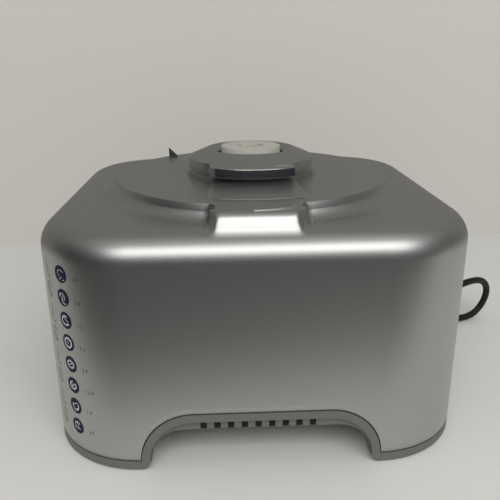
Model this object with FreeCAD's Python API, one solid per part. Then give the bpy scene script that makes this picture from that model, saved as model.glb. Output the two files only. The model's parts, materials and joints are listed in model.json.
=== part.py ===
"""Motor base of a domestic food processor, in millimetres, +Z up.

The origin is on the table, on the axis of the drive spindle. -X is the control side, where the speed knob is,
+X is the rear, where the mains cord leaves, and the hand tunnel runs through the base along Y.
"""
import FreeCAD, Part
import math
import os

from FreeCAD import Vector

# Housing: a rounded square shell, open below, with a soft top edge
body_length = 232.0
body_width = 219.0
body_corner_radius = 52.5
body_top = 129.5
top_edge_radius = 15.0
shell_wall = 3.0
shell_bottom = 6.0

# Bowl seat: a raised round deck that a low skirt joins to the top of the housing
deck_radius = 83.5
deck_top = 137.5
deck_step = 2.5
deck_edge_round = 0.8
skirt_width = 8.5

# Scallop round the deck, deepest at the two sides of the bridge and running out towards the back
scallop_radius = 8.5
scallop_floor = 128.3
scallop_tilt = 3.2
scallop_overlap = 0.5

# Bridge that carries the deck out to the near edge between the two scallops
bridge_left = -28.0
bridge_right = 22.0
bridge_nose_left = -22.0
bridge_nose_right = 19.0
bridge_nose_inset = 12.5
bridge_slope_inset = 7.5

# Hand tunnel through the base, and the grey strip of the tray that shows round it
arch_half_width = 64.0
arch_top = 33.4
arch_radius = 28.0
parting_gap = 0.4
trim_width = 4.4
tray_bottom = 0.8
foot_corner_round = 4.4
lip_side = 0.6
lip_height = 5.0
lip_setback = 2.5
lip_depth = 12.0
vent_count = 9
vent_pitch = 7.2
vent_width = 3.4
vent_centre = -1.7
tongue_height = 6.4
tongue_wall = 2.0

# Feet and fasteners
foot_pad_radius = 8.0
foot_pad_sink = 3.0
foot_pad_end_inset = 16.0
foot_pad_side_inset = 49.5
screw_radius = 2.0
screw_head_radius = 4.0
screw_head_height = 2.2
screw_clearance = 0.05
base_screw_end_inset = 24.0
base_screw_side_inset = 34.5
base_screw_length = 22.0
boss_radius = 5.0

# General clearances
slip = 0.02
running_clearance = 0.03
apart = 0.3

# Bayonet hub with its two bowl lugs and the well that the coupling turns in
hub_radius = 38.5
hub_rim_height = 10.8
hub_crest_rise = 4.9
hub_crest_radius = 27.0
hub_spigot_radius = 30.0
hub_well_radius = 22.5
hub_well_edge_drop = 0.7
hub_well_lift = 3.5
hub_foot_inset = 1.0
hub_foot_height = 3.7
hub_edge_round = 0.8
lug_thickness = 5.4
front_lug_radius = 48.5
front_lug_left = 25.0
front_lug_right = 23.0
front_lug_corner = 3.0
back_lug_radius = 47.0
back_lug_half_width = 15.0
hub_screw_circle = 34.0
hub_screw_depth = 8.0

# Spindle, its bearings and the coupling that drives the bowl's tools
spindle_radius = 6.0
spindle_bottom = 38.0
bearing_radius = 14.0
bearing_height = 9.0
bearing_tube_wall = 5.0
bearing_tube_top = 118.0
seal_height = 4.0
seal_lip = 0.35
seal_radius = 10.0
coupling_radius = 18.7
coupling_top_radius = 18.3
coupling_lift = 1.0
coupling_height = 12.3
coupling_socket_radius = 8.0
coupling_socket_depth = 6.0
coupling_lobes = 6
coupling_lobe_radius = 1.8
ring_height = 1.5
ring_width = 3.0

# Chassis plate on four pillars that are riveted into it
chassis_z = 58.0
chassis_thickness = 4.0
chassis_control_inset = 20.0
chassis_cord_inset = 12.0
chassis_switch_margin = 2.0
chassis_corner = 10.0
pillar_end_inset = 32.0
pillar_edge_margin = 15.0
pillar_radius = 7.0
pillar_rivet_radius = 4.0
chassis_screw_length = 20.0

# Belt drive
pulley_bottom = 42.0
pulley_height = 12.0
flange_height = 1.0
flange_width = 2.0
driven_radius = 34.0
driven_holes = 6
driven_hole_radius = 5.0
driven_hole_circle = 21.0
motor_pulley_radius = 11.0
belt_thickness = 2.0
belt_side_room = 1.0

# Motor, upright beside the spindle
motor_x = 62.0
rotor_shaft_radius = 4.0
motor_bearing_radius = 8.0
motor_bearing_height = 5.0
bearing_boss_wall = 4.0
stator_radius = 36.0
stator_yoke = 5.0
stator_bottom = 80.0
stator_height = 26.0
pole_half_angle = 62.0
air_gap = 0.6
pole_height = 11.0
winding_step = 5.0
winding_height = 3.6
coil_pole_recess = 2.0
coil_half_angle = 84.0
coil_end = 4.0
coil_room = 0.4
commutator_radius = 11.0
commutator_height = 7.0
commutator_bars = 18
commutator_slit = 0.6
fan_radius = 28.0
fan_height = 6.0
fan_plate = 1.5
fan_hub_radius = 8.0
fan_blades = 11
fan_blade_thickness = 1.4
post_radius = 3.0
post_gap = 0.3
bracket_thickness = 4.0
bracket_bottom = 120.5
bracket_overhang = 3.2
brush_width = 6.0
brush_height = 5.0
brush_length = 12.7
holder_wall = 1.9
holder_length = 14.5

# Speed control on the -X face
knob_z = 85.0
knob_radius = 24.0
knob_depth = 12.5
knob_skirt = 3.0
knob_grip_radius = 20.0
knob_draft = 2.0
knob_pointer_width = 3.0
knob_pointer_depth = 1.2
knob_air = 0.5
switch_shaft_radius = 3.0
switch_shaft_hole = 4.0
switch_width = 30.0
switch_depth = 25.0
board_inset = 32.0
board_thickness = 1.6
board_half_width = 40.0
board_height = 50.0
bracket_width = 12.0
bracket_depth = 5.0
bracket_height = 40.0
bracket_y = 30.0
board_screw_radius = 1.5
board_screw_length = 4.4
board_screw_head = 1.6

# Bowl interlock: a ramped fin on a sprung plunger above a switch
interlock_x = -53.0
interlock_y = 58.0
fin_length = 6.0
fin_thickness = 3.0
fin_height = 6.4
fin_low_height = 0.6
plunger_flange_length = 10.0
plunger_flange_width = 8.0
plunger_flange_height = 4.0
plunger_travel = 5.0
plunger_pin_radius = 2.0
plunger_pin_length = 10.0
spring_radius = 4.4
spring_wall = 1.2
limit_switch_length = 16.0
limit_switch_width = 12.0
limit_switch_height = 16.0
limit_switch_top = 104.0

# Mains lead: gland, clamp and terminals on the +X side
cord_radius = 2.5
gland_y = 30.0
gland_z = 40.0
gland_reach = 13.0
gland_neck_radius = 6.0
gland_flange_radius = 8.0
gland_flange_thickness = 2.5
gland_tip_radius = 4.0
clamp_inset = 18.0
clamp_length = 10.0
clamp_width = 18.0
clamp_height = 6.0
clamp_nip = 0.4
clamp_screw_radius = 1.5
clamp_screw_spacing = 12.0
clamp_screw_length = 14.0
terminal_inset = 42.0
terminal_length = 18.0
terminal_width = 14.0
terminal_height = 12.0

# Route of the free stretch of the cord, from the gland to the put-away coil
cord_route = [
    Vector(129.0, 30.0, 40.0),
    Vector(151.0, 30.0, 40.0),
    Vector(167.0, 41.0, 41.0),
    Vector(183.0, 53.0, 38.0),
    Vector(191.8, 59.5, 30.8),
    Vector(194.6, 63.2, 20.0),
    Vector(191.2, 64.0, 9.2),
    Vector(182.5, 60.8, 2.1),
    Vector(166.0, 55.0, 2.8),
    Vector(150.0, 55.0, 2.8),
    Vector(134.0, 62.0, 3.1),
    Vector(122.5, 74.0, 2.9),
    Vector(118.4, 87.5, 3.6),
]
cord_arc_share = 0.45

# Put-away coil: it spirals in on the lower layer and out again on the upper one
coil_centre = Vector(150.0, 104.0, 4.0)
coil_smallest_radius = 21.0
coil_half_turns = 4
coil_lead_out = 17.0
coil_pitch = 5.6
coil_layer_height = 5.6
tie_width = 8.0
tie_thickness = 0.9
tie_room = 0.5
tie_side_room = 1.0
plug_length = 34.0
plug_width = 26.0
plug_thickness = 17.0
plug_corner = 5.0
plug_neck_length = 8.0
plug_neck_radius = 4.2
pin_radius = 2.0
pin_length = 19.0
pin_spacing = 18.6

X_AXIS = Vector(1, 0, 0)
Y_AXIS = Vector(0, 1, 0)
Z_AXIS = Vector(0, 0, 1)
parts = {}


def disc(radius, bottom, top, x=0.0, y=0.0):
    """An upright cylinder between two heights."""
    return Part.makeCylinder(radius, top - bottom, Vector(x, y, bottom))


def tube(inner, outer, bottom, top, x=0.0, y=0.0):
    """An upright ring between two heights."""
    return disc(outer, bottom, top, x, y).cut(disc(inner, bottom, top, x, y))


def rod(radius, left, right, y, z):
    """A cylinder along X between two places."""
    return Part.makeCylinder(radius, right - left, Vector(left, y, z), X_AXIS)


def block(low, high):
    """A box between two corners."""
    size = [b - a for a, b in zip(low, high)]
    return Part.makeBox(size[0], size[1], size[2], Vector(*low))


def rounded_outline(half_length, half_width, radius, z, centre_x=0.0):
    """A closed rectangle with round corners at one height."""
    edges = []
    corners = [(1, 1, 0), (-1, 1, 90), (-1, -1, 180), (1, -1, 270)]
    arcs = []
    for side_x, side_y, start in corners:
        middle = Vector(centre_x + side_x * (half_length - radius), side_y * (half_width - radius), z)
        points = []
        for angle in (start, start + 45, start + 90):
            turn = math.radians(angle)
            points.append(middle + Vector(math.cos(turn), math.sin(turn), 0) * radius)
        arcs.append(points)
    for index, points in enumerate(arcs):
        edges.append(Part.Arc(*points).toShape())
        edges.append(Part.LineSegment(points[2], arcs[(index + 1) % 4][0]).toShape())
    return Part.Wire(edges)


def rounded_prism(half_length, half_width, radius, bottom, top, centre_x=0.0):
    """An upright rounded rectangle."""
    face = Part.Face(rounded_outline(half_length, half_width, radius, bottom, centre_x))
    return face.extrude(Z_AXIS * (top - bottom))


def body_prism(inset, bottom, top):
    """The plan of the housing, drawn in all round by the inset."""
    return rounded_prism(
        body_length / 2 - inset, body_width / 2 - inset, body_corner_radius - inset, bottom, top
    )


def sector(inner, outer, middle_angle, half_angle, bottom, top, x=0.0, y=0.0):
    """A slice of a ring about an upright axis."""
    start = math.radians(middle_angle - half_angle)
    middle = math.radians(middle_angle)
    end = math.radians(middle_angle + half_angle)

    def spot(radius, angle):
        return Vector(x + radius * math.cos(angle), y + radius * math.sin(angle), bottom)

    edges = [
        Part.Arc(spot(outer, start), spot(outer, middle), spot(outer, end)).toShape(),
        Part.LineSegment(spot(outer, end), spot(inner, end)).toShape(),
        Part.Arc(spot(inner, end), spot(inner, middle), spot(inner, start)).toShape(),
        Part.LineSegment(spot(inner, start), spot(outer, start)).toShape(),
    ]
    return Part.Face(Part.Wire(edges)).extrude(Z_AXIS * (top - bottom))


def polygon_prism(points, direction):
    """A flat outline of straight sides, pushed along one direction."""
    return Part.Face(Part.makePolygon(points + points[:1])).extrude(direction)


def edges_at_height(shape, height):
    """The edges of a shape that lie wholly at one height."""
    found = []
    for edge in shape.Edges:
        box = edge.BoundBox
        if abs(box.ZMin - height) < slip and abs(box.ZMax - height) < slip:
            found.append(edge)
    return found


def arch_space(inset, near, far, flare, drop=0.0):
    """The tunnel's space, drawn in by the inset, between two places along Y.

    A flare rounds the foot's lower corner beside the space, and a drop lowers the crown between its sides.
    """
    half = arch_half_width - inset
    top = arch_top - inset - drop
    radius = min(arch_radius - inset, top - tray_bottom - flare - parting_gap / 4)
    spring_z = top - radius
    below = tray_bottom - flare - 1.0
    slant = math.sqrt(0.5)

    def spot(x, z):
        return Vector(x, near, z)

    left_middle = spot(-half + radius - radius * slant, spring_z + radius * slant)
    right_middle = spot(half - radius + radius * slant, spring_z + radius * slant)
    edges = [
        Part.LineSegment(spot(-half, tray_bottom + flare), spot(-half, spring_z)).toShape(),
        Part.Arc(spot(-half, spring_z), left_middle, spot(-half + radius, top)).toShape(),
        Part.LineSegment(spot(-half + radius, top), spot(half - radius, top)).toShape(),
        Part.Arc(spot(half - radius, top), right_middle, spot(half, spring_z)).toShape(),
        Part.LineSegment(spot(half, spring_z), spot(half, tray_bottom + flare)).toShape(),
    ]
    right_end = spot(half + flare, tray_bottom)
    left_end = spot(-half - flare, tray_bottom)
    if flare > 0:
        round_in = flare - flare * slant
        right_round = spot(half + round_in, tray_bottom + round_in)
        edges.append(Part.Arc(spot(half, tray_bottom + flare), right_round, right_end).toShape())
    edges.append(Part.LineSegment(right_end, spot(half + flare, below)).toShape())
    edges.append(Part.LineSegment(spot(half + flare, below), spot(-half - flare, below)).toShape())
    edges.append(Part.LineSegment(spot(-half - flare, below), left_end).toShape())
    if flare > 0:
        left_round = spot(-half - round_in, tray_bottom + round_in)
        edges.append(Part.Arc(left_end, left_round, spot(-half, tray_bottom + flare)).toShape())
    return Part.Face(Part.Wire(edges)).extrude(Y_AXIS * (far - near))


def four_places(x, y):
    """The four mirrored places of one point."""
    return [(x, y), (-x, y), (-x, -y), (x, -y)]


def screw_from_below(x, y, head_bottom, length, radius, head_radius, head_height):
    """A pan-headed screw that points up."""
    head = disc(head_radius, head_bottom, head_bottom + head_height, x, y)
    shank = disc(radius, head_bottom + head_height - slip, head_bottom + head_height + length, x, y)
    return head.fuse(shank).removeSplitter()


def group(shapes):
    """Separate solids that share one node."""
    return Part.makeCompound(shapes)


# Heights and places that follow from the sizes above
half_length = body_length / 2
half_width = body_width / 2
roof = body_top - shell_wall
deck_underside = deck_top - shell_wall
tray_floor = shell_bottom - parting_gap
trim_space_inset = parting_gap + trim_width
lip_inset = trim_space_inset + lip_side
chassis_top = chassis_z + chassis_thickness
pulley_top = pulley_bottom + pulley_height
stator_top = stator_bottom + stator_height
armature_radius = stator_radius - stator_yoke - pole_height
winding_radius = armature_radius - winding_step
coil_inner_radius = armature_radius + coil_pole_recess
brush_middle = stator_top + coil_end + apart + holder_wall + brush_height / 2
gland_tip = half_length + gland_reach
plunger_flange_top = roof - apart
base_screw_places = four_places(half_length - base_screw_end_inset, half_width - base_screw_side_inset)
foot_places = four_places(half_length - foot_pad_end_inset, half_width - foot_pad_side_inset)
chassis_left = chassis_control_inset - half_length
chassis_right = half_length - chassis_cord_inset
chassis_half_width = interlock_y + chassis_switch_margin
pillar_places = four_places(half_length - pillar_end_inset, chassis_half_width - pillar_edge_margin)
board_x = board_inset - half_length
clamp_x = half_length - clamp_inset
terminal_x = half_length - terminal_inset
hub_rim = deck_top + hub_rim_height
hub_crest = hub_rim + hub_crest_rise
hub_well_floor = deck_top + hub_well_lift
lug_bottom = hub_rim - lug_thickness
coupling_bottom = hub_well_floor + coupling_lift
coupling_top = coupling_bottom + coupling_height
coupling_socket_floor = coupling_top - coupling_socket_depth
hub_screw_places = []
for quarter in range(4):
    hub_screw_turn = math.radians(45 + 90 * quarter)
    hub_screw_places.append(
        (hub_screw_circle * math.cos(hub_screw_turn), hub_screw_circle * math.sin(hub_screw_turn))
    )
post_places = []
for quarter in range(4):
    post_turn = math.radians(45 + 90 * quarter)
    post_circle = stator_radius + post_gap + post_radius
    post_places.append((motor_x + post_circle * math.cos(post_turn), post_circle * math.sin(post_turn)))


def make_top_housing():
    """Painted shell with the bowl seat, the scallops, the bridge and the screw bosses inside."""
    shell = body_prism(0, shell_bottom, body_top)
    shell = shell.makeFillet(top_edge_radius, edges_at_height(shell, body_top))
    skirt = Part.makeCone(
        deck_radius + skirt_width, deck_radius, deck_top - deck_step - body_top, Vector(0, 0, body_top)
    )
    shell = shell.fuse(skirt)
    deck = disc(deck_radius, roof, deck_top)
    deck = deck.makeFillet(deck_edge_round, edges_at_height(deck, deck_top))
    shell = shell.fuse(deck)

    scallop_circle = deck_radius + scallop_radius - scallop_overlap
    drop = scallop_circle * math.sin(math.radians(scallop_tilt))
    scallop = Part.makeTorus(scallop_circle, scallop_radius)
    scallop.rotate(Vector(0, 0, 0), X_AXIS, scallop_tilt)
    scallop.translate(Vector(0, 0, scallop_floor + scallop_radius + drop))

    waist_y = -deck_radius
    nose_y = bridge_nose_inset - half_width
    slope_y = bridge_slope_inset - half_width
    run_in = top_edge_radius - bridge_slope_inset
    slope_z = body_top - top_edge_radius + math.sqrt(top_edge_radius ** 2 - run_in ** 2) - slip
    back_y = waist_y + scallop_radius
    side = [
        Vector(bridge_left, back_y, roof),
        Vector(bridge_left, back_y, deck_top),
        Vector(bridge_left, nose_y, deck_top),
        Vector(bridge_left, slope_y, slope_z),
        Vector(bridge_left, slope_y, slope_z - shell_wall),
    ]
    bridge = polygon_prism(side, X_AXIS * (bridge_right - bridge_left))
    plan = [
        Vector(bridge_left, back_y, 0),
        Vector(bridge_left, waist_y, 0),
        Vector(bridge_nose_left, nose_y, 0),
        Vector(bridge_nose_left, slope_y - slip, 0),
        Vector(bridge_nose_right, slope_y - slip, 0),
        Vector(bridge_nose_right, nose_y, 0),
        Vector(bridge_right, waist_y, 0),
        Vector(bridge_right, back_y, 0),
    ]
    bridge = bridge.common(polygon_prism(plan, Z_AXIS * deck_top))
    shell = shell.cut(scallop).fuse(bridge)

    hollow = body_prism(shell_wall, shell_bottom - 1, roof)
    hollow = hollow.makeFillet(top_edge_radius - shell_wall, edges_at_height(hollow, roof))
    shell = shell.cut(hollow)
    shell = shell.cut(disc(deck_radius - scallop_overlap - shell_wall, roof - 1, deck_underside))
    shell = shell.cut(arch_space(0, -half_width - 1, half_width + 1, foot_corner_round))

    for x, y in base_screw_places:
        boss = disc(boss_radius, tray_floor + apart, roof + slip, x, y)
        pilot = disc(
            screw_radius + screw_clearance,
            tray_floor,
            tray_bottom + screw_head_height + base_screw_length + apart,
            x,
            y,
        )
        shell = shell.fuse(boss).cut(pilot)
    shell = shell.cut(disc(hub_spigot_radius + screw_clearance, deck_underside - 1, deck_top + 1))
    for x, y in hub_screw_places:
        shell = shell.cut(disc(screw_radius + screw_clearance, deck_underside - 1, deck_top + 1, x, y))
    shell = shell.cut(
        rod(gland_neck_radius + screw_clearance, half_length - 2 * shell_wall, half_length + 1, gland_y, gland_z),
    )
    shell = shell.cut(rod(switch_shaft_hole, -half_length - 1, -half_length + 2 * shell_wall, 0, knob_z))
    slot_low = (interlock_x - fin_length / 2 - apart, interlock_y - fin_thickness / 2 - apart, roof - 1)
    slot_high = (interlock_x + fin_length / 2 + apart, interlock_y + fin_thickness / 2 + apart, deck_top + 1)
    shell = shell.cut(block(slot_low, slot_high))
    return shell.removeSplitter()


def make_base_tray():
    """Grey moulded tray: feet, tunnel with its show strip, hanging vent comb, tongue and cord towers."""
    floor = body_prism(0, tray_bottom, tray_floor)
    band = body_prism(0, tray_bottom, arch_top).common(
        arch_space(parting_gap, -half_width - 1, half_width + 1, 0)
    )
    tray = floor.fuse(band)
    tongue = body_prism(shell_wall + apart, tray_floor - 1, tray_floor + tongue_height)
    tongue = tongue.cut(
        body_prism(shell_wall + apart + tongue_wall, tray_floor - 2, tray_floor + tongue_height + 1)
    )
    tray = tray.fuse(tongue)
    tray = tray.cut(arch_space(trim_space_inset, -half_width - 1, half_width + 1, foot_corner_round))
    for side in (-1, 1):
        outer = half_width - lip_setback
        near = min(side * outer, side * (outer - lip_depth))
        far = near + lip_depth
        lip = arch_space(trim_space_inset, near, far, 0).cut(
            arch_space(lip_inset, near - 1, far + 1, foot_corner_round, lip_height)
        )
        lip = lip.common(body_prism(0, tray_bottom, arch_top))
        tray = tray.fuse(lip)
        for index in range(vent_count):
            middle = vent_centre + (index - (vent_count - 1) / 2) * vent_pitch
            low = (middle - vent_width / 2, near, arch_top - lip_inset - lip_height - 1)
            high = (middle + vent_width / 2, far, arch_top + 1)
            tray = tray.cut(block(low, high))
    for x, y in foot_places:
        tray = tray.cut(disc(foot_pad_radius + slip, tray_bottom - 1, tray_bottom + foot_pad_sink, x, y))
    for x, y in base_screw_places + pillar_places:
        tray = tray.cut(disc(screw_radius + screw_clearance, tray_bottom - 1, tray_floor + 1, x, y))
        tray = tray.cut(
            disc(screw_head_radius + apart, tray_bottom - 1, tray_bottom + screw_head_height, x, y)
        )
    tower = block(
        (clamp_x, gland_y - clamp_width / 2, tray_floor - 1),
        (clamp_x + clamp_length, gland_y + clamp_width / 2, gland_z - clamp_nip),
    )
    tower = tower.cut(rod(cord_radius + slip, clamp_x - 1, clamp_x + clamp_length + 1, gland_y, gland_z))
    for side in (-1, 1):
        pilot_y = gland_y + side * clamp_screw_spacing / 2
        pilot_bottom = gland_z + clamp_height - clamp_screw_length - apart
        tower = tower.cut(
            disc(clamp_screw_radius + screw_clearance, pilot_bottom, gland_z, clamp_x + clamp_length / 2, pilot_y),
        )
    stand = block(
        (terminal_x, gland_y - terminal_width / 2, tray_floor - 1),
        (terminal_x + terminal_length, gland_y + terminal_width / 2, gland_z - terminal_height / 2),
    )
    return tray.fuse(tower).fuse(stand).removeSplitter()


def make_bayonet_hub():
    """Collar that the bowl locks on, with a coned top, a recessed foot, two lugs and the coupling's well."""
    foot_radius = hub_radius - hub_foot_inset
    foot_top = deck_top + hub_foot_height
    profile = [
        Vector(0, 0, deck_top),
        Vector(foot_radius, 0, deck_top),
        Vector(foot_radius, 0, foot_top),
        Vector(hub_radius, 0, foot_top),
        Vector(hub_radius, 0, hub_rim),
        Vector(hub_crest_radius, 0, hub_crest),
        Vector(hub_well_radius, 0, hub_crest - hub_well_edge_drop),
        Vector(hub_well_radius, 0, hub_well_floor),
        Vector(0, 0, hub_well_floor),
        Vector(0, 0, deck_top),
    ]
    hub = Part.Face(Part.makePolygon(profile)).revolve(Vector(0, 0, 0), Z_AXIS, 360)
    hub = hub.makeFillet(hub_edge_round, edges_at_height(hub, hub_rim))
    hub = hub.fuse(disc(hub_spigot_radius, deck_underside, deck_top))
    hub = hub.fuse(make_front_lug()).fuse(make_back_lug())
    hub = hub.cut(disc(seal_radius + slip, deck_underside - 1, deck_underside + seal_height))
    hub = hub.cut(disc(spindle_radius + 2 * apart, deck_underside, hub_well_floor + 1))
    for x, y in hub_screw_places:
        hub = hub.cut(
            disc(screw_radius + screw_clearance, deck_top - 1, deck_top + hub_screw_depth + apart, x, y)
        )
    return hub.removeSplitter()


def make_front_lug():
    """Broad lug with straight sides and one corner taken off."""
    corner_y = -math.sqrt(front_lug_radius ** 2 - front_lug_left ** 2)
    beyond_y = -front_lug_radius - front_lug_corner
    plan = [
        Vector(-front_lug_left, 0, lug_bottom),
        Vector(-front_lug_left, corner_y + front_lug_corner, lug_bottom),
        Vector(2 * front_lug_corner - front_lug_left, corner_y - 2 * front_lug_corner, lug_bottom),
        Vector(2 * front_lug_corner - front_lug_left, beyond_y, lug_bottom),
        Vector(front_lug_right, beyond_y, lug_bottom),
        Vector(front_lug_right, 0, lug_bottom),
    ]
    ring = tube(hub_crest_radius, front_lug_radius, lug_bottom, hub_rim)
    return ring.common(polygon_prism(plan, Z_AXIS * lug_thickness))


def make_back_lug():
    """Narrower lug behind the hub."""
    ring = tube(hub_crest_radius, back_lug_radius, lug_bottom, hub_rim)
    low = (-back_lug_half_width, 0, lug_bottom)
    return ring.common(block(low, (back_lug_half_width, back_lug_radius, hub_rim)))


def make_feet():
    """Rubber pads let into the underside of the tray."""
    pads = []
    for x, y in foot_places:
        pad = disc(foot_pad_radius, 0, tray_bottom + foot_pad_sink, x, y)
        pads.append(pad)
    return group(pads)


def make_screws(places, head_bottom, length):
    """A set of like screws that point up."""
    screws = []
    for x, y in places:
        screws.append(
            screw_from_below(x, y, head_bottom, length, screw_radius, screw_head_radius, screw_head_height)
        )
    return group(screws)


def make_chassis():
    """Cast plate with the spindle's bearing tube,
    the motor's lower boss,
    the switch post and the board's ears.""",
    middle_x = (chassis_left + chassis_right) / 2
    plate = rounded_prism(
        (chassis_right - chassis_left) / 2,
        chassis_half_width,
        chassis_corner,
        chassis_z,
        chassis_top,
        middle_x,
    )
    plate = plate.fuse(disc(bearing_radius + bearing_tube_wall, chassis_z, bearing_tube_top))
    boss_top = chassis_z + motor_bearing_height + bearing_boss_wall
    plate = plate.fuse(disc(motor_bearing_radius + bearing_boss_wall, chassis_z, boss_top, motor_x))
    post_low = (interlock_x - limit_switch_length / 2, interlock_y - limit_switch_width / 2, chassis_top - 1)
    post_high = (
        interlock_x + limit_switch_length / 2, chassis_half_width, limit_switch_top - limit_switch_height
    )
    plate = plate.fuse(block(post_low, post_high))
    for side in (-1, 1):
        ear_low = (board_x + board_thickness, side * bracket_y - bracket_width / 2, chassis_top - 1)
        ear_high = (
            board_x + board_thickness + bracket_depth,
            side * bracket_y + bracket_width / 2,
            chassis_top + bracket_height,
        )
        ear = block(ear_low, ear_high)
        pilot = rod(
            board_screw_radius + screw_clearance,
            board_x,
            board_x + board_screw_length + apart,
            side * bracket_y,
            chassis_top + bracket_height / 2,
        )
        plate = plate.fuse(ear).cut(pilot)
    bore_top = bearing_tube_top - bearing_height
    plate = plate.cut(disc(bearing_radius + slip, chassis_z - 1, chassis_z + bearing_height))
    plate = plate.cut(disc(bearing_radius + slip, bore_top, bearing_tube_top + 1))
    plate = plate.cut(disc(bearing_radius - 2, chassis_z, bearing_tube_top))
    seat_bottom = boss_top - motor_bearing_height
    plate = plate.cut(disc(motor_bearing_radius + slip, seat_bottom, boss_top + 1, motor_x))
    plate = plate.cut(disc(rotor_shaft_radius + 2 * apart, chassis_z - 1, boss_top, motor_x))
    for x, y in pillar_places:
        plate = plate.cut(disc(pillar_rivet_radius + slip, chassis_z - 1, chassis_top + 1, x, y))
    return plate.removeSplitter()


def make_pillars():
    """Turned pillars that stand on the tray, each with a riveted end in the plate and a tapped hole below."""
    pillars = []
    pilot_top = tray_bottom + screw_head_height + chassis_screw_length + apart
    for x, y in pillar_places:
        pillar = disc(pillar_radius, tray_floor, chassis_z, x, y)
        pillar = pillar.fuse(disc(pillar_rivet_radius, chassis_z - 1, chassis_top, x, y))
        pillar = pillar.cut(disc(screw_radius + screw_clearance, tray_floor - 1, pilot_top, x, y))
        pillars.append(pillar.removeSplitter())
    return group(pillars)


def make_bearing(shaft_radius, outer_radius, bottom, height, x=0.0):
    """Ball bearing as one ring, with a shallow shield groove in each face."""
    ring = tube(shaft_radius + running_clearance, outer_radius, bottom, bottom + height, x)
    middle = (shaft_radius + outer_radius) / 2
    groove = (outer_radius - shaft_radius) / 6
    for low in (bottom - 1, bottom + height - apart):
        ring = ring.cut(
            tube(middle - groove, middle + groove, low, low + 1 + apart if low < bottom else low + 1, x)
        )
    return ring


def make_seal():
    """Rubber ring under the hub that keeps liquid off the bearings."""
    return tube(spindle_radius + seal_lip, seal_radius, deck_underside, deck_underside + seal_height)


def make_spindle():
    """Turned steel spindle with a chamfered top."""
    spindle = disc(spindle_radius, spindle_bottom, coupling_socket_floor - apart)
    return spindle.makeChamfer(1.0, edges_at_height(spindle, spindle_bottom))


def make_coupling():
    """Pale moulded coupling: tapered body with a lobed socket that the bowl's tools drop over."""
    body = Part.makeCone(
        coupling_radius, coupling_top_radius, coupling_top - coupling_bottom, Vector(0, 0, coupling_bottom)
    )
    socket = disc(coupling_socket_radius, coupling_socket_floor, coupling_top + 1)
    body = body.cut(socket)
    for index in range(coupling_lobes):
        turn = 2 * math.pi * index / coupling_lobes
        x = coupling_socket_radius * math.cos(turn)
        y = coupling_socket_radius * math.sin(turn)
        body = body.fuse(disc(coupling_lobe_radius, coupling_socket_floor - 1, coupling_top - 1, x, y))
    return body.cut(disc(spindle_radius + slip, coupling_bottom - 1, coupling_socket_floor - apart)).removeSplitter()


def make_pulley(radius, shaft_radius, x=0.0):
    """Flanged belt pulley."""
    wheel = disc(radius, pulley_bottom, pulley_top, x)
    for low in (pulley_bottom - flange_height, pulley_top):
        wheel = wheel.fuse(disc(radius + flange_width, low, low + flange_height, x))
    return wheel.cut(disc(shaft_radius + slip, pulley_bottom - 2, pulley_top + 2, x)).removeSplitter()


def make_driven_pulley():
    """Large pulley with lightening holes."""
    wheel = make_pulley(driven_radius, spindle_radius)
    for index in range(driven_holes):
        turn = 2 * math.pi * index / driven_holes
        x = driven_hole_circle * math.cos(turn)
        y = driven_hole_circle * math.sin(turn)
        wheel = wheel.cut(disc(driven_hole_radius, pulley_bottom - 2, pulley_top + 2, x, y))
    return wheel


def belt_outline(offset, z):
    """Line of the belt round both pulleys, at a distance from their rims."""
    big = driven_radius + offset
    small = motor_pulley_radius + offset
    lean = math.acos((big - small) / motor_x)

    def on_big(angle):
        return Vector(big * math.cos(angle), big * math.sin(angle), z)

    def on_small(angle):
        return Vector(motor_x + small * math.cos(angle), small * math.sin(angle), z)

    edges = [
        Part.Arc(on_big(lean), on_big(math.pi), on_big(-lean)).toShape(),
        Part.LineSegment(on_big(-lean), on_small(-lean)).toShape(),
        Part.Arc(on_small(-lean), on_small(0), on_small(lean)).toShape(),
        Part.LineSegment(on_small(lean), on_big(lean)).toShape(),
    ]
    return Part.Wire(edges)


def make_belt():
    """Flat ribbed belt, held clear of the pulleys by the running gap."""
    low = pulley_bottom + belt_side_room
    outer = Part.Face(belt_outline(apart + belt_thickness, low))
    inner = Part.Face(belt_outline(apart, low))
    return outer.cut(inner).extrude(Z_AXIS * (pulley_height - 2 * belt_side_room))


def make_stator():
    """Laminated yoke with two inward poles."""
    yoke = tube(stator_radius - stator_yoke, stator_radius, stator_bottom, stator_top, motor_x)
    for angle in (90, 270):
        pole = sector(
            armature_radius + air_gap, stator_radius - stator_yoke / 2, angle, pole_half_angle, stator_bottom,
            stator_top, motor_x,
        )
        yoke = yoke.fuse(pole)
    return yoke.removeSplitter()


def make_field_coils():
    """Two coils, each wound round its pole."""
    coils = []
    outer = stator_radius - stator_yoke - coil_room
    for angle in (90, 270):
        coil = sector(
            coil_inner_radius,
            outer,
            angle,
            coil_half_angle,
            stator_bottom - coil_end,
            stator_top + coil_end,
            motor_x,
        )
        window = sector(
            coil_inner_radius - 2, outer + 2, angle, pole_half_angle + 1, stator_bottom - coil_room,
            stator_top + coil_room, motor_x,
        )
        coils.append(coil.cut(window))
    return group(coils)


def make_posts():
    """Four studs that clamp the stator between the chassis and the top bracket."""
    return group([disc(post_radius, chassis_top, bracket_bottom, x, y) for x, y in post_places])


def make_top_bracket():
    """Round plate on the posts that holds the motor's upper bearing and stays clear of the rear wall."""
    reach = stator_radius + post_gap + post_radius + bracket_overhang
    plate_top = bracket_bottom + bracket_thickness
    plate = disc(reach, bracket_bottom, plate_top, motor_x)
    wall_face = half_length - shell_wall - apart
    beyond = block(
        (wall_face, -half_width, bracket_bottom - 1), (half_length + reach, half_width, plate_top + 1)
    )
    plate = plate.cut(beyond)
    return plate.cut(disc(motor_bearing_radius + slip, bracket_bottom - 1, plate_top + 1, motor_x))


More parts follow.
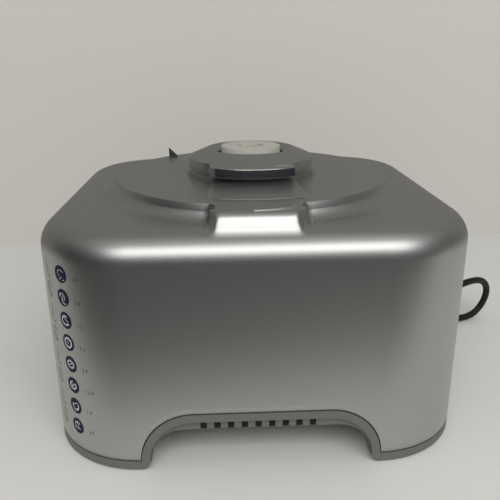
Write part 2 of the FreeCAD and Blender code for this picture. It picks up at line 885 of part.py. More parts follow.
def make_armature():
    """Stack of laminations on the rotor shaft."""
    return tube(rotor_shaft_radius + slip, armature_radius, stator_bottom, stator_top, motor_x)


def make_winding():
    """End turns of the armature, above and below the stack."""
    below = tube(
        rotor_shaft_radius + slip, winding_radius, stator_bottom - winding_height, stator_bottom, motor_x
    )
    above = tube(rotor_shaft_radius + slip, winding_radius, stator_top, stator_top + winding_height, motor_x)
    return group([below, above])


def make_commutator():
    """Copper drum parted by slits into bars."""
    low = brush_middle - commutator_height / 2
    drum = tube(rotor_shaft_radius + slip, commutator_radius, low, low + commutator_height, motor_x)
    slits = []
    for index in range(commutator_bars):
        slit = Part.makeBox(
            2 * apart, commutator_slit, commutator_height,
            Vector(motor_x + commutator_radius - apart, -commutator_slit / 2, low),
        )
        slit.rotate(Vector(motor_x, 0, 0), Z_AXIS, 360 * index / commutator_bars)
        slits.append(slit)
    return drum.cut(slits)


def make_fan():
    """Moulded fan below the armature."""
    top = stator_bottom - coil_end - 2 * apart - 1
    low = top - fan_height
    fan = disc(fan_radius, low, low + fan_plate, motor_x)
    fan = fan.fuse(disc(fan_hub_radius, low, top, motor_x))
    for index in range(fan_blades):
        blade = Part.makeBox(
            fan_radius - fan_hub_radius, fan_blade_thickness, fan_height,
            Vector(motor_x + fan_hub_radius - 1, -fan_blade_thickness / 2, low),
        )
        blade.rotate(Vector(motor_x, 0, 0), Z_AXIS, 360 * index / fan_blades)
        fan = fan.fuse(blade)
    return fan.cut(disc(rotor_shaft_radius + slip, low - 1, top + 1, motor_x)).removeSplitter()


def make_brushes():
    """Two carbon blocks that bear on the commutator, and the holders under the bracket that guide them."""
    holders = []
    brushes = []
    middle_z = brush_middle
    face = commutator_radius + apart
    for side in (-1, 1):
        half_x = brush_width / 2
        half_z = brush_height / 2
        ends = sorted((side * face, side * (face + brush_length)))
        brush = block(
            (motor_x - half_x, ends[0], middle_z - half_z), (motor_x + half_x, ends[1], middle_z + half_z)
        )
        mouth = face + 2 * apart
        ends = sorted((side * mouth, side * (mouth + holder_length)))
        wide = half_x + holder_wall
        holder = block(
            (motor_x - wide, ends[0], middle_z - half_z - holder_wall),
            (motor_x + wide, ends[1], bracket_bottom),
        )
        tunnel = block(
            (motor_x - half_x - slip, ends[0] - 1, middle_z - half_z - slip),
            (motor_x + half_x + slip, ends[1] + 1, middle_z + half_z + slip),
        )
        brushes.append(brush)
        holders.append(holder.cut(tunnel))
    return group(holders), group(brushes)


def make_knob():
    """Turned knob with a skirt, a narrower grip and a pointer groove."""
    face = -half_length - knob_air
    knob = rod(knob_radius, face - knob_skirt, face, 0, knob_z)
    grip = Part.makeCone(
        knob_grip_radius - knob_draft, knob_grip_radius, knob_depth, Vector(face - knob_depth, 0, knob_z), X_AXIS
    )
    knob = knob.fuse(grip)
    groove = block(
        (face - knob_depth - 1, -knob_pointer_width / 2, knob_z + knob_grip_radius / 4),
        (face - knob_depth + knob_pointer_depth, knob_pointer_width / 2, knob_z + knob_grip_radius),
    )
    bore = rod(switch_shaft_radius + slip, face - knob_depth / 2, face + 1, 0, knob_z)
    return knob.cut(groove).cut(bore).removeSplitter()


def make_speed_control():
    """Rotary switch on the board, with the turning shaft that the knob is pressed on."""
    left = board_x - switch_depth
    half = switch_width / 2
    switch = block((left, -half, knob_z - half), (board_x, half, knob_z + half))
    switch = switch.cut(
        rod(switch_shaft_radius + 2 * running_clearance, left - 1, left + switch_depth / 2, 0, knob_z)
    )
    shaft_left = -half_length - knob_air - knob_depth / 2
    shaft = rod(switch_shaft_radius, shaft_left, left + switch_depth / 2 - apart, 0, knob_z)
    board = block(
        (board_x, -board_half_width, chassis_top),
        (board_x + board_thickness, board_half_width, chassis_top + board_height),
    )
    screws = []
    for side in (-1, 1):
        z = chassis_top + bracket_height / 2
        board = board.cut(
            rod(board_screw_radius + screw_clearance, board_x - 1, board_x + board_thickness + 1, side * bracket_y, z),
        )
        head = rod(2 * board_screw_radius, board_x - board_screw_head, board_x, side * bracket_y, z)
        screws.append(
            head.fuse(rod(board_screw_radius, board_x - slip, board_x + board_screw_length, side * bracket_y, z)),
        )
    return switch, shaft, board, group(screws)


def make_interlock():
    """Sprung plunger with its ramped fin, the spring and the limit switch below."""
    left = interlock_x - fin_length / 2
    near = interlock_y - fin_thickness / 2
    fin = [
        Vector(left, near, plunger_flange_top - slip),
        Vector(left, near, deck_top + fin_height),
        Vector(left + fin_length, near, deck_top + fin_low_height),
        Vector(left + fin_length, near, plunger_flange_top - slip),
    ]
    plunger = polygon_prism(fin, Y_AXIS * fin_thickness)
    flange_low = plunger_flange_top - plunger_flange_height
    flange = block(
        (interlock_x - plunger_flange_length / 2, interlock_y - plunger_flange_width / 2, flange_low),
        (interlock_x + plunger_flange_length / 2, interlock_y + plunger_flange_width / 2, plunger_flange_top),
    )
    pin = disc(plunger_pin_radius, flange_low - plunger_pin_length, flange_low + 1, interlock_x, interlock_y)
    plunger = plunger.fuse(flange).fuse(pin).removeSplitter()
    spring = tube(
        spring_radius - spring_wall,
        spring_radius,
        limit_switch_top,
        flange_low - apart,
        interlock_x,
        interlock_y,
    )
    switch = block(
        (interlock_x - limit_switch_length / 2, interlock_y - limit_switch_width / 2, limit_switch_top - limit_switch_height),
        (interlock_x + limit_switch_length / 2, interlock_y + limit_switch_width / 2, limit_switch_top),
    )
    return plunger, spring, switch


def make_gland():
    """Moulded strain relief: a neck in the wall, a flange inside and a ribbed taper outside."""
    inner = half_length - shell_wall
    gland = rod(gland_flange_radius, inner - gland_flange_thickness, inner - slip, gland_y, gland_z)
    gland = gland.fuse(rod(gland_neck_radius, inner - 1, half_length + 1, gland_y, gland_z))
    taper = Part.makeCone(
        gland_neck_radius,
        gland_tip_radius,
        gland_reach - 1,
        Vector(half_length + 1, gland_y, gland_z),
        X_AXIS,
    )
    gland = gland.fuse(taper)
    return gland.cut(rod(cord_radius + slip, 0, gland_tip + 1, gland_y, gland_z)).removeSplitter()


def make_clamp():
    """Saddle over the cord, with its two screws."""
    low = gland_z + clamp_nip
    saddle = block(
        (clamp_x, gland_y - clamp_width / 2, low), (
            clamp_x + clamp_length, gland_y + clamp_width / 2, gland_z + clamp_height
        )
    )
    saddle = saddle.cut(rod(cord_radius + slip, clamp_x - 1, clamp_x + clamp_length + 1, gland_y, gland_z))
    screws = []
    middle_x = clamp_x + clamp_length / 2
    top = gland_z + clamp_height
    for side in (-1, 1):
        y = gland_y + side * clamp_screw_spacing / 2
        saddle = saddle.cut(disc(clamp_screw_radius + screw_clearance, low - 1, top + 1, middle_x, y))
        head = disc(2 * clamp_screw_radius - apart, top, top + clamp_screw_radius, middle_x, y)
        screws.append(head.fuse(disc(clamp_screw_radius, top - clamp_screw_length, top + slip, middle_x, y)))
    return saddle, group(screws)


def make_terminal_block():
    """Screw terminals that the cord's cores go to."""
    low = (terminal_x, gland_y - terminal_width / 2, gland_z - terminal_height / 2)
    high = (terminal_x + terminal_length, gland_y + terminal_width / 2, gland_z + terminal_height / 2)
    return block(low, high)


def filleted_path(points):
    """Straight runs joined by tangent arcs, each arc as large as its two runs allow."""
    edges = []
    radii = []
    start = points[0]
    for before, corner, after in zip(points, points[1:], points[2:]):
        towards = corner - before
        away = after - corner
        reach = cord_arc_share * min(towards.Length, away.Length)
        turn = towards.getAngle(away)
        radii.append(reach / math.tan(turn / 2))
        towards.normalize()
        away.normalize()
        first = corner - towards * reach
        last = corner + away * reach
        inward = away - towards
        inward.normalize()
        middle = corner + inward * (radii[-1] * (1 / math.cos(turn / 2) - 1))
        edges.append(Part.LineSegment(start, first).toShape())
        edges.append(Part.Arc(first, middle, last).toShape())
        start = last
    edges.append(Part.LineSegment(start, points[-1]).toShape())
    return Part.Wire(edges), radii


def cord_tube(path, start, direction):
    """Round cord swept along a path."""
    section = Part.Wire(Part.makeCircle(cord_radius, start, direction))
    return path.makePipeShell([section], True, False)


def coil_ends():
    """Places where the coil's half turns meet, in order, on its -X and +X sides in turn."""
    step = coil_pitch / 2
    radii = [coil_smallest_radius + step * (coil_half_turns - index) for index in range(coil_half_turns + 1)]
    low = len(radii)
    radii.append(coil_smallest_radius - step)
    radii += [coil_smallest_radius + step * (index + 1) for index in range(coil_half_turns + 1)]
    ends = []
    for index, radius in enumerate(radii):
        side = -1 if index % 2 == 0 else 1
        lift = 0 if index < low else coil_layer_height
        ends.append(coil_centre + Vector(side * radius, 0, lift))
    return ends


def make_coil():
    """Put-away coil as one unbroken tube of half turns, with a straight lead at each end."""
    ends = coil_ends()
    lead_in = ends[0] - Y_AXIS * (2 * cord_radius)
    lead_out = ends[-1] + Y_AXIS * coil_lead_out
    edges = [Part.LineSegment(lead_in, ends[0]).toShape()]
    for index in range(len(ends) - 1):
        middle = (ends[index] + ends[index + 1]) * 0.5
        bulge = (ends[index + 1] - ends[index]).Length / 2
        side = 1 if index % 2 == 0 else -1
        edges.append(Part.Arc(ends[index], middle + Y_AXIS * (side * bulge), ends[index + 1]).toShape())
    edges.append(Part.LineSegment(ends[-1], lead_out).toShape())
    path = Part.Wire(edges)
    return cord_tube(path, lead_in, Y_AXIS), path, lead_in, lead_out


def least_gap(path):
    """Smallest gap of the coil to itself, measured between points more than a half turn apart."""
    spacing = 1.5
    points = path.discretize(Distance=spacing)
    skip = int(math.pi * (coil_smallest_radius - coil_pitch) / spacing)
    gap = None
    for index, point in enumerate(points):
        for other in points[index + skip:]:
            distance = point.distanceToPoint(other) - 2 * cord_radius
            gap = distance if gap is None else min(gap, distance)
    return gap


def make_tie():
    """Flat band round the coil's turns on the +X side."""
    inner = coil_smallest_radius - coil_pitch / 2 - cord_radius - tie_side_room
    outer = coil_smallest_radius + coil_pitch / 2 * coil_half_turns + cord_radius + tie_side_room
    low = coil_centre.z - cord_radius - tie_room
    high = coil_centre.z + coil_layer_height + cord_radius + tie_room
    left = coil_centre.x + inner
    right = coil_centre.x + outer
    near = coil_centre.y - tie_width / 2
    far = coil_centre.y + tie_width / 2
    band = block(
        (left - tie_thickness, near, low - tie_thickness), (right + tie_thickness, far, high + tie_thickness)
    )
    return band.cut(block((left, near - 1, low), (right, far + 1, high)))


def make_plug(tip):
    """Flat two-pin plug on the coil's free end, pointing along +Y."""
    neck = Part.makeCylinder(plug_neck_radius, plug_neck_length + 1, tip, Y_AXIS)
    near = tip.y + plug_neck_length
    body = block(
        (tip.x - plug_width / 2, near, tip.z - plug_thickness / 2),
        (tip.x + plug_width / 2, near + plug_length, tip.z + plug_thickness / 2),
    )
    body = body.makeFillet(
        plug_corner, [edge for edge in body.Edges if edge.BoundBox.YLength > plug_length / 2]
    )
    plug = neck.fuse(body)
    for side in (-1, 1):
        foot = Vector(tip.x + side * pin_spacing / 2, near + plug_length - 1, tip.z)
        plug = plug.fuse(Part.makeCylinder(pin_radius, pin_length + 1, foot, Y_AXIS))
    return plug.removeSplitter()


parts["top_housing"] = make_top_housing()
parts["base_tray"] = make_base_tray()
parts["bayonet_hub"] = make_bayonet_hub()
parts["rubber_feet"] = make_feet()
parts["base_screws"] = make_screws(base_screw_places, tray_bottom, base_screw_length)
parts["chassis_screws"] = make_screws(pillar_places, tray_bottom, chassis_screw_length)
hub_screw_head = deck_underside - screw_head_height
parts["hub_screws"] = make_screws(hub_screw_places, hub_screw_head, shell_wall + hub_screw_depth)
parts["chassis"] = make_chassis()
parts["chassis_pillars"] = make_pillars()

upper_bearing_bottom = bearing_tube_top - bearing_height
parts["lower_bearing"] = make_bearing(spindle_radius, bearing_radius, chassis_z, bearing_height)
parts["upper_bearing"] = make_bearing(spindle_radius, bearing_radius, upper_bearing_bottom, bearing_height)
parts["spindle_seal"] = make_seal()
parts["spindle"] = make_spindle()
parts["drive_coupling"] = make_coupling()
parts["driven_pulley"] = make_driven_pulley()
ring_top = chassis_z - apart
parts["retaining_ring"] = tube(
    spindle_radius + slip, spindle_radius + ring_width, ring_top - ring_height, ring_top
)
parts["drive_belt"] = make_belt()

parts["motor_pulley"] = make_pulley(motor_pulley_radius, rotor_shaft_radius, motor_x)
shaft_top = bracket_bottom + bracket_thickness
parts["rotor_shaft"] = disc(rotor_shaft_radius, spindle_bottom, shaft_top, motor_x)
motor_seat = chassis_z + bearing_boss_wall
parts["motor_lower_bearing"] = make_bearing(
    rotor_shaft_radius, motor_bearing_radius, motor_seat, motor_bearing_height, motor_x
)
parts["motor_upper_bearing"] = make_bearing(
    rotor_shaft_radius, motor_bearing_radius, shaft_top - motor_bearing_height, motor_bearing_height, motor_x
)
parts["motor_stator"] = make_stator()
parts["field_coils"] = make_field_coils()
parts["motor_posts"] = make_posts()
parts["motor_top_bracket"] = make_top_bracket()
parts["armature"] = make_armature()
parts["armature_winding"] = make_winding()
parts["commutator"] = make_commutator()
parts["cooling_fan"] = make_fan()
parts["brush_holders"], parts["carbon_brushes"] = make_brushes()

parts["control_knob"] = make_knob()
parts["speed_switch"], parts["switch_shaft"], parts["control_board"], parts["board_screws"] = make_speed_control()
parts["interlock_plunger"], parts["interlock_spring"], parts["interlock_switch"] = make_interlock()

parts["cord_gland"] = make_gland()
parts["cord_clamp"], parts["clamp_screws"] = make_clamp()
parts["terminal_block"] = make_terminal_block()
parts["cord_tail"] = rod(cord_radius, terminal_x + terminal_length, gland_tip, gland_y, gland_z)
parts["cord_coil"], coil_path, coil_start, coil_tip = make_coil()
free_path, free_radii = filleted_path(cord_route + [coil_start])
parts["mains_cord"] = cord_tube(free_path, cord_route[0], cord_route[1] - cord_route[0])
parts["cord_tie"] = make_tie()
parts["plug"] = make_plug(coil_tip)

print("cord radii", [round(radius, 1) for radius in free_radii])
cord_section = math.pi * cord_radius ** 2
print(
    "cord volume over section times length",
    round(parts["mains_cord"].Volume / (cord_section * free_path.Length), 4),
)
print(
    "coil volume over section times length",
    round(parts["cord_coil"].Volume / (cord_section * coil_path.Length), 4),
)
print(
    "coil least gap",
    round(least_gap(coil_path), 2),
    "cord length",
    round(free_path.Length + coil_path.Length),
)

os.makedirs("parts", exist_ok=True)
for name, shape in parts.items():
    shape.exportStep("parts/" + name + ".step")
    print(name, len(shape.Solids), shape.isValid(), round(shape.Volume))
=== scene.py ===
import json
import math

import bmesh
import bpy
import numpy as np
from mathutils import Matrix, Vector


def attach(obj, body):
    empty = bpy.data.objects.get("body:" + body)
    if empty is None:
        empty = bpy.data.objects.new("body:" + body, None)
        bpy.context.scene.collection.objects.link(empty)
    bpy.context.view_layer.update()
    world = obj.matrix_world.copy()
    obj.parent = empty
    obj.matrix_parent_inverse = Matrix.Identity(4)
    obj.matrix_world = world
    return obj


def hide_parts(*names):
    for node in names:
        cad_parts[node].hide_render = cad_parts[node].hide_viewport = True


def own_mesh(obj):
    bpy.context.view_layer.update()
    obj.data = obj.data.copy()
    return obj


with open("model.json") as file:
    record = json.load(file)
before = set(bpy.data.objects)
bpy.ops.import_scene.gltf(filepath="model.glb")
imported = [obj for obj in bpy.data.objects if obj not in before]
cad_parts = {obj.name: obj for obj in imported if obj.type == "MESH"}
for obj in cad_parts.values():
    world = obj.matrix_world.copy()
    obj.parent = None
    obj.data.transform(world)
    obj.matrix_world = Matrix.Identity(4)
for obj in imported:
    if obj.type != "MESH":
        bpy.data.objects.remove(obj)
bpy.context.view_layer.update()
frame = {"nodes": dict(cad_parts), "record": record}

MM = 0.001
nodes = frame["nodes"]
scene = bpy.context.scene
scene.view_settings.view_transform = "Standard"


# Camera. The photograph looks down on the near long side from the height of a person who bends to it,
# so the lens, place and tilt below were worked out from the housing's own straight edges.
camera_place = Vector((-0.0175, -0.3701, 0.2126))
camera_pitch = math.radians(19.03)
camera_yaw = math.radians(2.59)
camera_roll = math.radians(-0.39)
camera_lens = 42.48

forward = Vector((
    math.sin(camera_yaw) * math.cos(camera_pitch),
    math.cos(camera_yaw) * math.cos(camera_pitch),
    -math.sin(camera_pitch),
))
level_right = Vector((math.cos(camera_yaw), -math.sin(camera_yaw), 0.0))
level_up = level_right.cross(forward)
right = math.cos(camera_roll) * level_right + math.sin(camera_roll) * level_up
up = -math.sin(camera_roll) * level_right + math.cos(camera_roll) * level_up
camera_data = bpy.data.cameras.new("camera")
camera_data.sensor_width = 36.0
camera_data.lens = camera_lens
camera_data.clip_start = 0.01
camera = bpy.data.objects.new("camera", camera_data)
turn = Matrix((right, up, -forward)).transposed().to_4x4()
camera.matrix_world = Matrix.Translation(camera_place) @ turn
scene.collection.objects.link(camera)
scene.camera = camera


# Mains cord: a light flex in black rubber that leaves the gland in the right-hand wall. It starts level, curls
# down in one open loop to the table and runs on to the rear corner, where the rest lies in a tied coil.
def new_material(name, colour, roughness, metallic=0.0):
    """A named shader with its colour and gloss set on its own sockets."""
    material = bpy.data.materials.new(name)
    material.use_nodes = True
    shader = material.node_tree.nodes["Principled BSDF"]
    shader.inputs["Base Color"].default_value = (*colour, 1.0)
    shader.inputs["Roughness"].default_value = roughness
    shader.inputs["Metallic"].default_value = metallic
    return material


def add_speckle(material, scale, spread, bump, depth, rough_spread=0.0, stretch=(1.0, 1.0, 1.0)):
    """Fine variation of colour, gloss and surface, fixed to the piece."""
    tree = material.node_tree
    shader = tree.nodes["Principled BSDF"]
    colour = shader.inputs["Base Color"].default_value[:3]
    roughness = shader.inputs["Roughness"].default_value
    place = tree.nodes.new("ShaderNodeTexCoord")
    mapping = tree.nodes.new("ShaderNodeMapping")
    mapping.inputs["Scale"].default_value = stretch
    noise = tree.nodes.new("ShaderNodeTexNoise")
    noise.inputs["Scale"].default_value = scale
    noise.inputs["Detail"].default_value = 4.0
    tree.links.new(place.outputs["Object"], mapping.inputs["Vector"])
    tree.links.new(mapping.outputs["Vector"], noise.inputs["Vector"])
    ramp = tree.nodes.new("ShaderNodeValToRGB")
    ramp.color_ramp.elements[0].position = 0.3
    ramp.color_ramp.elements[1].position = 0.7
    ramp.color_ramp.elements[0].color = (*[max(0.0, c * (1 - spread)) for c in colour], 1.0)
    ramp.color_ramp.elements[1].color = (*[min(1.0, c * (1 + spread)) for c in colour], 1.0)
    tree.links.new(noise.outputs["Fac"], ramp.inputs["Fac"])
    tree.links.new(ramp.outputs["Color"], shader.inputs["Base Color"])
    if rough_spread:
        gloss = tree.nodes.new("ShaderNodeMapRange")
        gloss.inputs["To Min"].default_value = roughness - rough_spread
        gloss.inputs["To Max"].default_value = roughness + rough_spread
        tree.links.new(noise.outputs["Fac"], gloss.inputs["Value"])
        tree.links.new(gloss.outputs["Result"], shader.inputs["Roughness"])
    if bump:
        relief = tree.nodes.new("ShaderNodeBump")
        relief.inputs["Strength"].default_value = bump
        relief.inputs["Distance"].default_value = depth
        tree.links.new(noise.outputs["Fac"], relief.inputs["Height"])
        tree.links.new(relief.outputs["Normal"], shader.inputs["Normal"])
    return material


cord_diameter = 5.0 * MM
cord_exit = (0.129, 0.030, 0.040)
cord_route = [
    cord_exit, (0.151, 0.030, 0.040), (0.167, 0.041, 0.041), (0.183, 0.053, 0.038), (0.1918, 0.0595, 0.0308),
    (0.1946, 0.0632, 0.020), (0.1912, 0.064, 0.0092), (0.1825, 0.0608, 0.0026), (0.166, 0.055, 0.0028),
    (0.150, 0.055, 0.0028), (0.134, 0.062, 0.0031), (0.1225, 0.074, 0.0029), (0.1184, 0.0875, 0.0036),
]
coil_centre = Vector((0.150, 0.104, 0.004))
coil_smallest_radius = 21.0 * MM
coil_step = 2.8 * MM
coil_half_turns = 4
coil_layer_height = 5.6 * MM
coil_points_per_half_turn = 9
coil_lead_out = 17.0 * MM

coil_radii = [coil_smallest_radius + coil_step * (coil_half_turns - k) for k in range(coil_half_turns + 1)]
coil_lower_count = len(coil_radii)
coil_radii.append(coil_smallest_radius - coil_step)
coil_radii += [coil_smallest_radius + coil_step * (k + 1) for k in range(coil_half_turns + 1)]
coil_ends = []
for k, radius in enumerate(coil_radii):
    side = -1 if k % 2 == 0 else 1
    lift = coil_layer_height if k >= coil_lower_count else 0.0
    coil_ends.append(coil_centre + Vector((side * radius, 0.0, lift)))
coil_points = [coil_ends[0] - Vector((0.0, cord_diameter, 0.0))]
for k in range(len(coil_ends) - 1):
    middle = (coil_ends[k] + coil_ends[k + 1]) / 2
    arm = coil_ends[k] - middle
    bulge = Vector((0.0, arm.length * (1 if k % 2 == 0 else -1), 0.0))
    for step in range(coil_points_per_half_turn):
        angle = math.pi * step / coil_points_per_half_turn
        coil_points.append(middle + arm * math.cos(angle) + bulge * math.sin(angle))
coil_points.append(coil_ends[-1])
coil_points.append(coil_ends[-1] + Vector((0.0, coil_lead_out / 2, 0.0)))
coil_points.append(coil_ends[-1] + Vector((0.0, coil_lead_out, 0.0)))

cord_points = [Vector(point) for point in cord_route] + coil_points
cord_curve = bpy.data.curves.new("mains_flex", "CURVE")
cord_curve.dimensions = "3D"
cord_spline = cord_curve.splines.new("NURBS")
cord_spline.points.add(len(cord_points) - 1)
for spot, point in zip(cord_spline.points, cord_points):
    spot.co = (*point, 1.0)
cord_spline.order_u = 3
cord_spline.use_endpoint_u = True
cord_spline.resolution_u = 6
cord_curve.bevel_depth = cord_diameter / 2
cord_curve.bevel_resolution = 5
cord_curve.use_fill_caps = True
mains_flex = bpy.data.objects.new("mains_flex", cord_curve)
scene.collection.objects.link(mains_flex)
cord_rubber = new_material("cord_rubber", (0.010, 0.010, 0.011), 0.55)
add_speckle(cord_rubber, 900.0, 0.3, 0.08, 0.0002, 0.06)
cord_rubber.node_tree.nodes["Principled BSDF"].inputs["Specular IOR Level"].default_value = 0.25
cord_curve.materials.append(cord_rubber)
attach(mains_flex, "base")
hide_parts("mains_cord", "cord_coil")


# Top housing: one moulded shell sprayed in metallic silver, with the round bowl seat raised on its roof.
# A scallop runs round the seat and stops at each side of a flat bridge. The lower edge arches over the tunnel.
half_length = 116.0
half_width = 109.5
corner_radius = 52.5
shell_bottom = 6.0
roof_height = 129.5
edge_radius = 15.0
shell_wall = 2.6
lower_edge_bevel = 0.7
seat_radius = 83.5
seat_height = 137.5
seat_step = 2.5
seat_bevel = 0.25
skirt_reach = 9.5
scallop_radius = 8.5
scallop_circle = 91.5
scallop_middle = 136.8
scallop_rise = 5.1
scallop_left_end = -30.5
scallop_right_end = 30.0
bridge_left = (-36.0, -22.0)
bridge_right = (35.0, 19.0)
bridge_waist = -84.0
bridge_nose = -96.2
bridge_slope_run = 6.4
bridge_drop = 10.0
bridge_blend = 0.8
scallop_blend = 1.2
arch_half_width = 64.0
arch_top = 33.4
arch_radius = 28.0
hub_hole_radius = 37.0
column_spacing = 1.45
fine_spacing = 0.35


def ease(value, low, high):
    """Smooth step from 0 at low to 1 at high."""
    share = np.clip((value - low) / (high - low), 0.0, 1.0)
    return share * share * (3.0 - 2.0 * share)


def plan_stops():
    """Places round the housing's plan: closer together on the near and far walls beside the tunnel."""
    straight_x = half_length - corner_radius
    straight_y = half_width - corner_radius
    steep = arch_half_width - arch_radius * 0.35
    stops = np.unique(np.round(np.concatenate([
        np.arange(-straight_x, straight_x, column_spacing),
        np.arange(steep, straight_x, fine_spacing),
        -np.arange(steep, straight_x, fine_spacing),
        np.arange(bridge_right[1], scallop_right_end + scallop_radius, 2 * fine_spacing),
        np.arange(scallop_left_end - scallop_radius, bridge_left[1], 2 * fine_spacing),
        [straight_x],
    ]), 3))
    arc = np.linspace(0.0, math.pi / 2, int(corner_radius * math.pi / 2 / column_spacing))[1:-1]
    fine = np.arange(0.0, 0.035, fine_spacing / corner_radius / 2)[1:]
    arc = np.unique(np.round(np.concatenate([arc, fine, math.pi / 2 - fine]), 5))
    sides = np.linspace(-straight_y, straight_y, int(2 * straight_y / column_spacing))
    centre, normal = [], []
    for x in stops:
        centre.append((x, -straight_y))
        normal.append((0.0, -1.0))
    for angle in arc:
        centre.append((straight_x, -straight_y))
        normal.append((math.sin(angle), -math.cos(angle)))
    for y in sides:
        centre.append((straight_x, y))
        normal.append((1.0, 0.0))
    for angle in arc:
        centre.append((straight_x, straight_y))
        normal.append((math.cos(angle), math.sin(angle)))
    for x in stops[::-1]:
        centre.append((x, straight_y))
        normal.append((0.0, 1.0))
    for angle in arc:
        centre.append((-straight_x, straight_y))
        normal.append((-math.sin(angle), math.cos(angle)))
    for y in sides[::-1]:
        centre.append((-straight_x, y))
        normal.append((-1.0, 0.0))
    for angle in arc:
        centre.append((-straight_x, -straight_y))
        normal.append((-math.cos(angle), -math.sin(angle)))
    return np.array(centre), np.array(normal)


def lower_edge(x, y):
    """Height of the shell's lower edge, which arches over the tunnel."""
    out = np.abs(x)
    bend = np.clip(arch_radius ** 2 - (out - arch_half_width + arch_radius) ** 2, 0, None)
    curve = arch_top - arch_radius + np.sqrt(bend)
    curve = np.where(out <= arch_half_width - arch_radius, arch_top, curve)
    inside = (out < arch_half_width) & (np.abs(y) > half_width - corner_radius)
    return np.where(inside, np.maximum(curve, shell_bottom), shell_bottom)


def scallop_distance(x, y):
    """Distance in plan from the scallops' middle line, which stops at each side of the bridge."""
    away = np.abs(np.hypot(x, y) - scallop_circle)
    to_ends = []
    for end in (scallop_left_end, scallop_right_end):
        to_ends.append(np.hypot(x - end, y + math.sqrt(scallop_circle ** 2 - end ** 2)))
    turn = np.arctan2(x, -y)
    first = math.asin(scallop_left_end / scallop_circle)
    last = math.asin(scallop_right_end / scallop_circle)
    return np.where((turn > first) & (turn < last), np.minimum(*to_ends), away)


def roof_shape(x, y, z):
    """Lays the bridge over the roof and cuts the scallops at its two sides."""
    along = np.clip((y - bridge_waist) / (bridge_nose - bridge_waist), 0.0, 1.0)
    left = bridge_left[0] + (bridge_left[1] - bridge_left[0]) * along
    right = bridge_right[0] + (bridge_right[1] - bridge_right[0]) * along
    mask = ease(x, left - 3.0, left + 1.5) * (1 - ease(x, right - 1.5, right + 3.0)) * (y < -60)
    slope_end = -bridge_nose + bridge_slope_run
    slope = seat_height - bridge_drop * ease(-y, -bridge_nose, slope_end)
    slope = slope - 2.0 * np.clip(-y - slope_end + 1.0, 0.0, None)
    share = np.clip(0.5 + 0.5 * (slope - z) / bridge_blend, 0.0, 1.0)
    laid = z * (1 - share) + slope * share + bridge_blend * share * (1 - share)
    z = z + (laid - z) * mask
    facing = -y / np.maximum(np.hypot(x, y), 1.0)
    middle = scallop_middle + scallop_rise * (1.0 - facing)
    inside = np.clip(scallop_radius ** 2 - scallop_distance(x, y) ** 2, 0.0, None)
    groove = middle - np.sqrt(inside)
    share = np.clip(0.5 + 0.5 * (z - groove) / scallop_blend, 0.0, 1.0)
    carved = z * (1 - share) + groove * share - scallop_blend * share * (1 - share)
    return np.where(inside > 0, carved, z)


def grid_mesh(name, rows, material):
    """A closed band of quads from rows of points that go round, the last row inside the first."""
    count = len(rows[0])
    points = np.concatenate(rows) * MM
    faces = []
    for row in range(len(rows) - 1):
        for column in range(count):
            after = (column + 1) % count
            low, high = row * count, (row + 1) * count
            faces.append((low + column, low + after, high + after, high + column))
    mesh = bpy.data.meshes.new(name)
    mesh.from_pydata([tuple(p) for p in points], [], faces)
    mesh.materials.append(material)
    mesh.polygons.foreach_set("use_smooth", [True] * len(mesh.polygons))
    piece = bpy.data.objects.new(name, mesh)
    scene.collection.objects.link(piece)
    return piece


stop_centre, stop_normal = plan_stops()


def plan_at(inset):
    """Plan of the housing drawn in by the inset."""
    return stop_centre + stop_normal * (corner_radius - inset)


silver_paint = new_material("silver_paint", (0.455, 0.455, 0.446), 0.395, 0.97)
add_speckle(silver_paint, 2600.0, 0.07, 0.035, 0.0001, 0.03)
silver_shader = silver_paint.node_tree.nodes["Principled BSDF"]
silver_shader.inputs["Coat Weight"].default_value = 0.03
silver_shader.inputs["Coat Roughness"].default_value = 0.25

outer_plan = plan_at(0.0)
edge_z = lower_edge(outer_plan[:, 0], outer_plan[:, 1])
wall_top = roof_height - edge_radius
rows = [np.column_stack([plan_at(lower_edge_bevel), edge_z])]
for share in (0.0, 0.04, 0.12, 0.25, 0.4, 0.6, 0.8, 0.92, 1.0):
    height = edge_z + lower_edge_bevel + (wall_top - edge_z - lower_edge_bevel) * share
    rows.append(np.column_stack([outer_plan, height]))
edge_steps = 12
for step in range(1, edge_steps + 1):
    angle = math.pi / 2 * step / edge_steps
    ring = plan_at(edge_radius * (1 - math.cos(angle)))
    height = wall_top + edge_radius * math.sin(angle)
    z = roof_shape(ring[:, 0], ring[:, 1], np.full(len(ring), height))
    rows.append(np.column_stack([ring, z]))
roof_ring = plan_at(edge_radius)
ring_angle = np.arctan2(roof_ring[:, 1], roof_ring[:, 0])
seat_ring = np.column_stack([np.cos(ring_angle), np.sin(ring_angle)]) * seat_radius
for share in (0.9, 0.8, 0.7, 0.6, 0.5, 0.42, 0.34, 0.27, 0.21, 0.16, 0.115, 0.08, 0.05, 0.028, 0.012):
    ring = seat_ring * (1 - share) + roof_ring * share
    reach = np.hypot(ring[:, 0], ring[:, 1])
    skirt = (seat_height - seat_step - roof_height) * (1 - ease(reach, seat_radius, seat_radius + skirt_reach))
    z = roof_shape(ring[:, 0], ring[:, 1], roof_height + skirt)
    rows.append(np.column_stack([ring, z]))
rows.append(np.column_stack([seat_ring, np.full(len(seat_ring), seat_height - seat_bevel)]))
for radius in (seat_radius - seat_bevel, 82.5, 78.0, 70.0, 60.0, 50.0, 42.0, hub_hole_radius):
    rows.append(np.column_stack([seat_ring * radius / seat_radius, np.full(len(seat_ring), seat_height)]))
housing_shell = grid_mesh("housing_shell", rows, silver_paint)
housing_shell.data.set_sharp_from_angle(angle=math.radians(62))
wall = housing_shell.modifiers.new("wall", "SOLIDIFY")
wall.thickness = shell_wall * MM
wall.offset = -1.0
wall.use_even_offset = False
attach(housing_shell, "base")
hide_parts("top_housing")


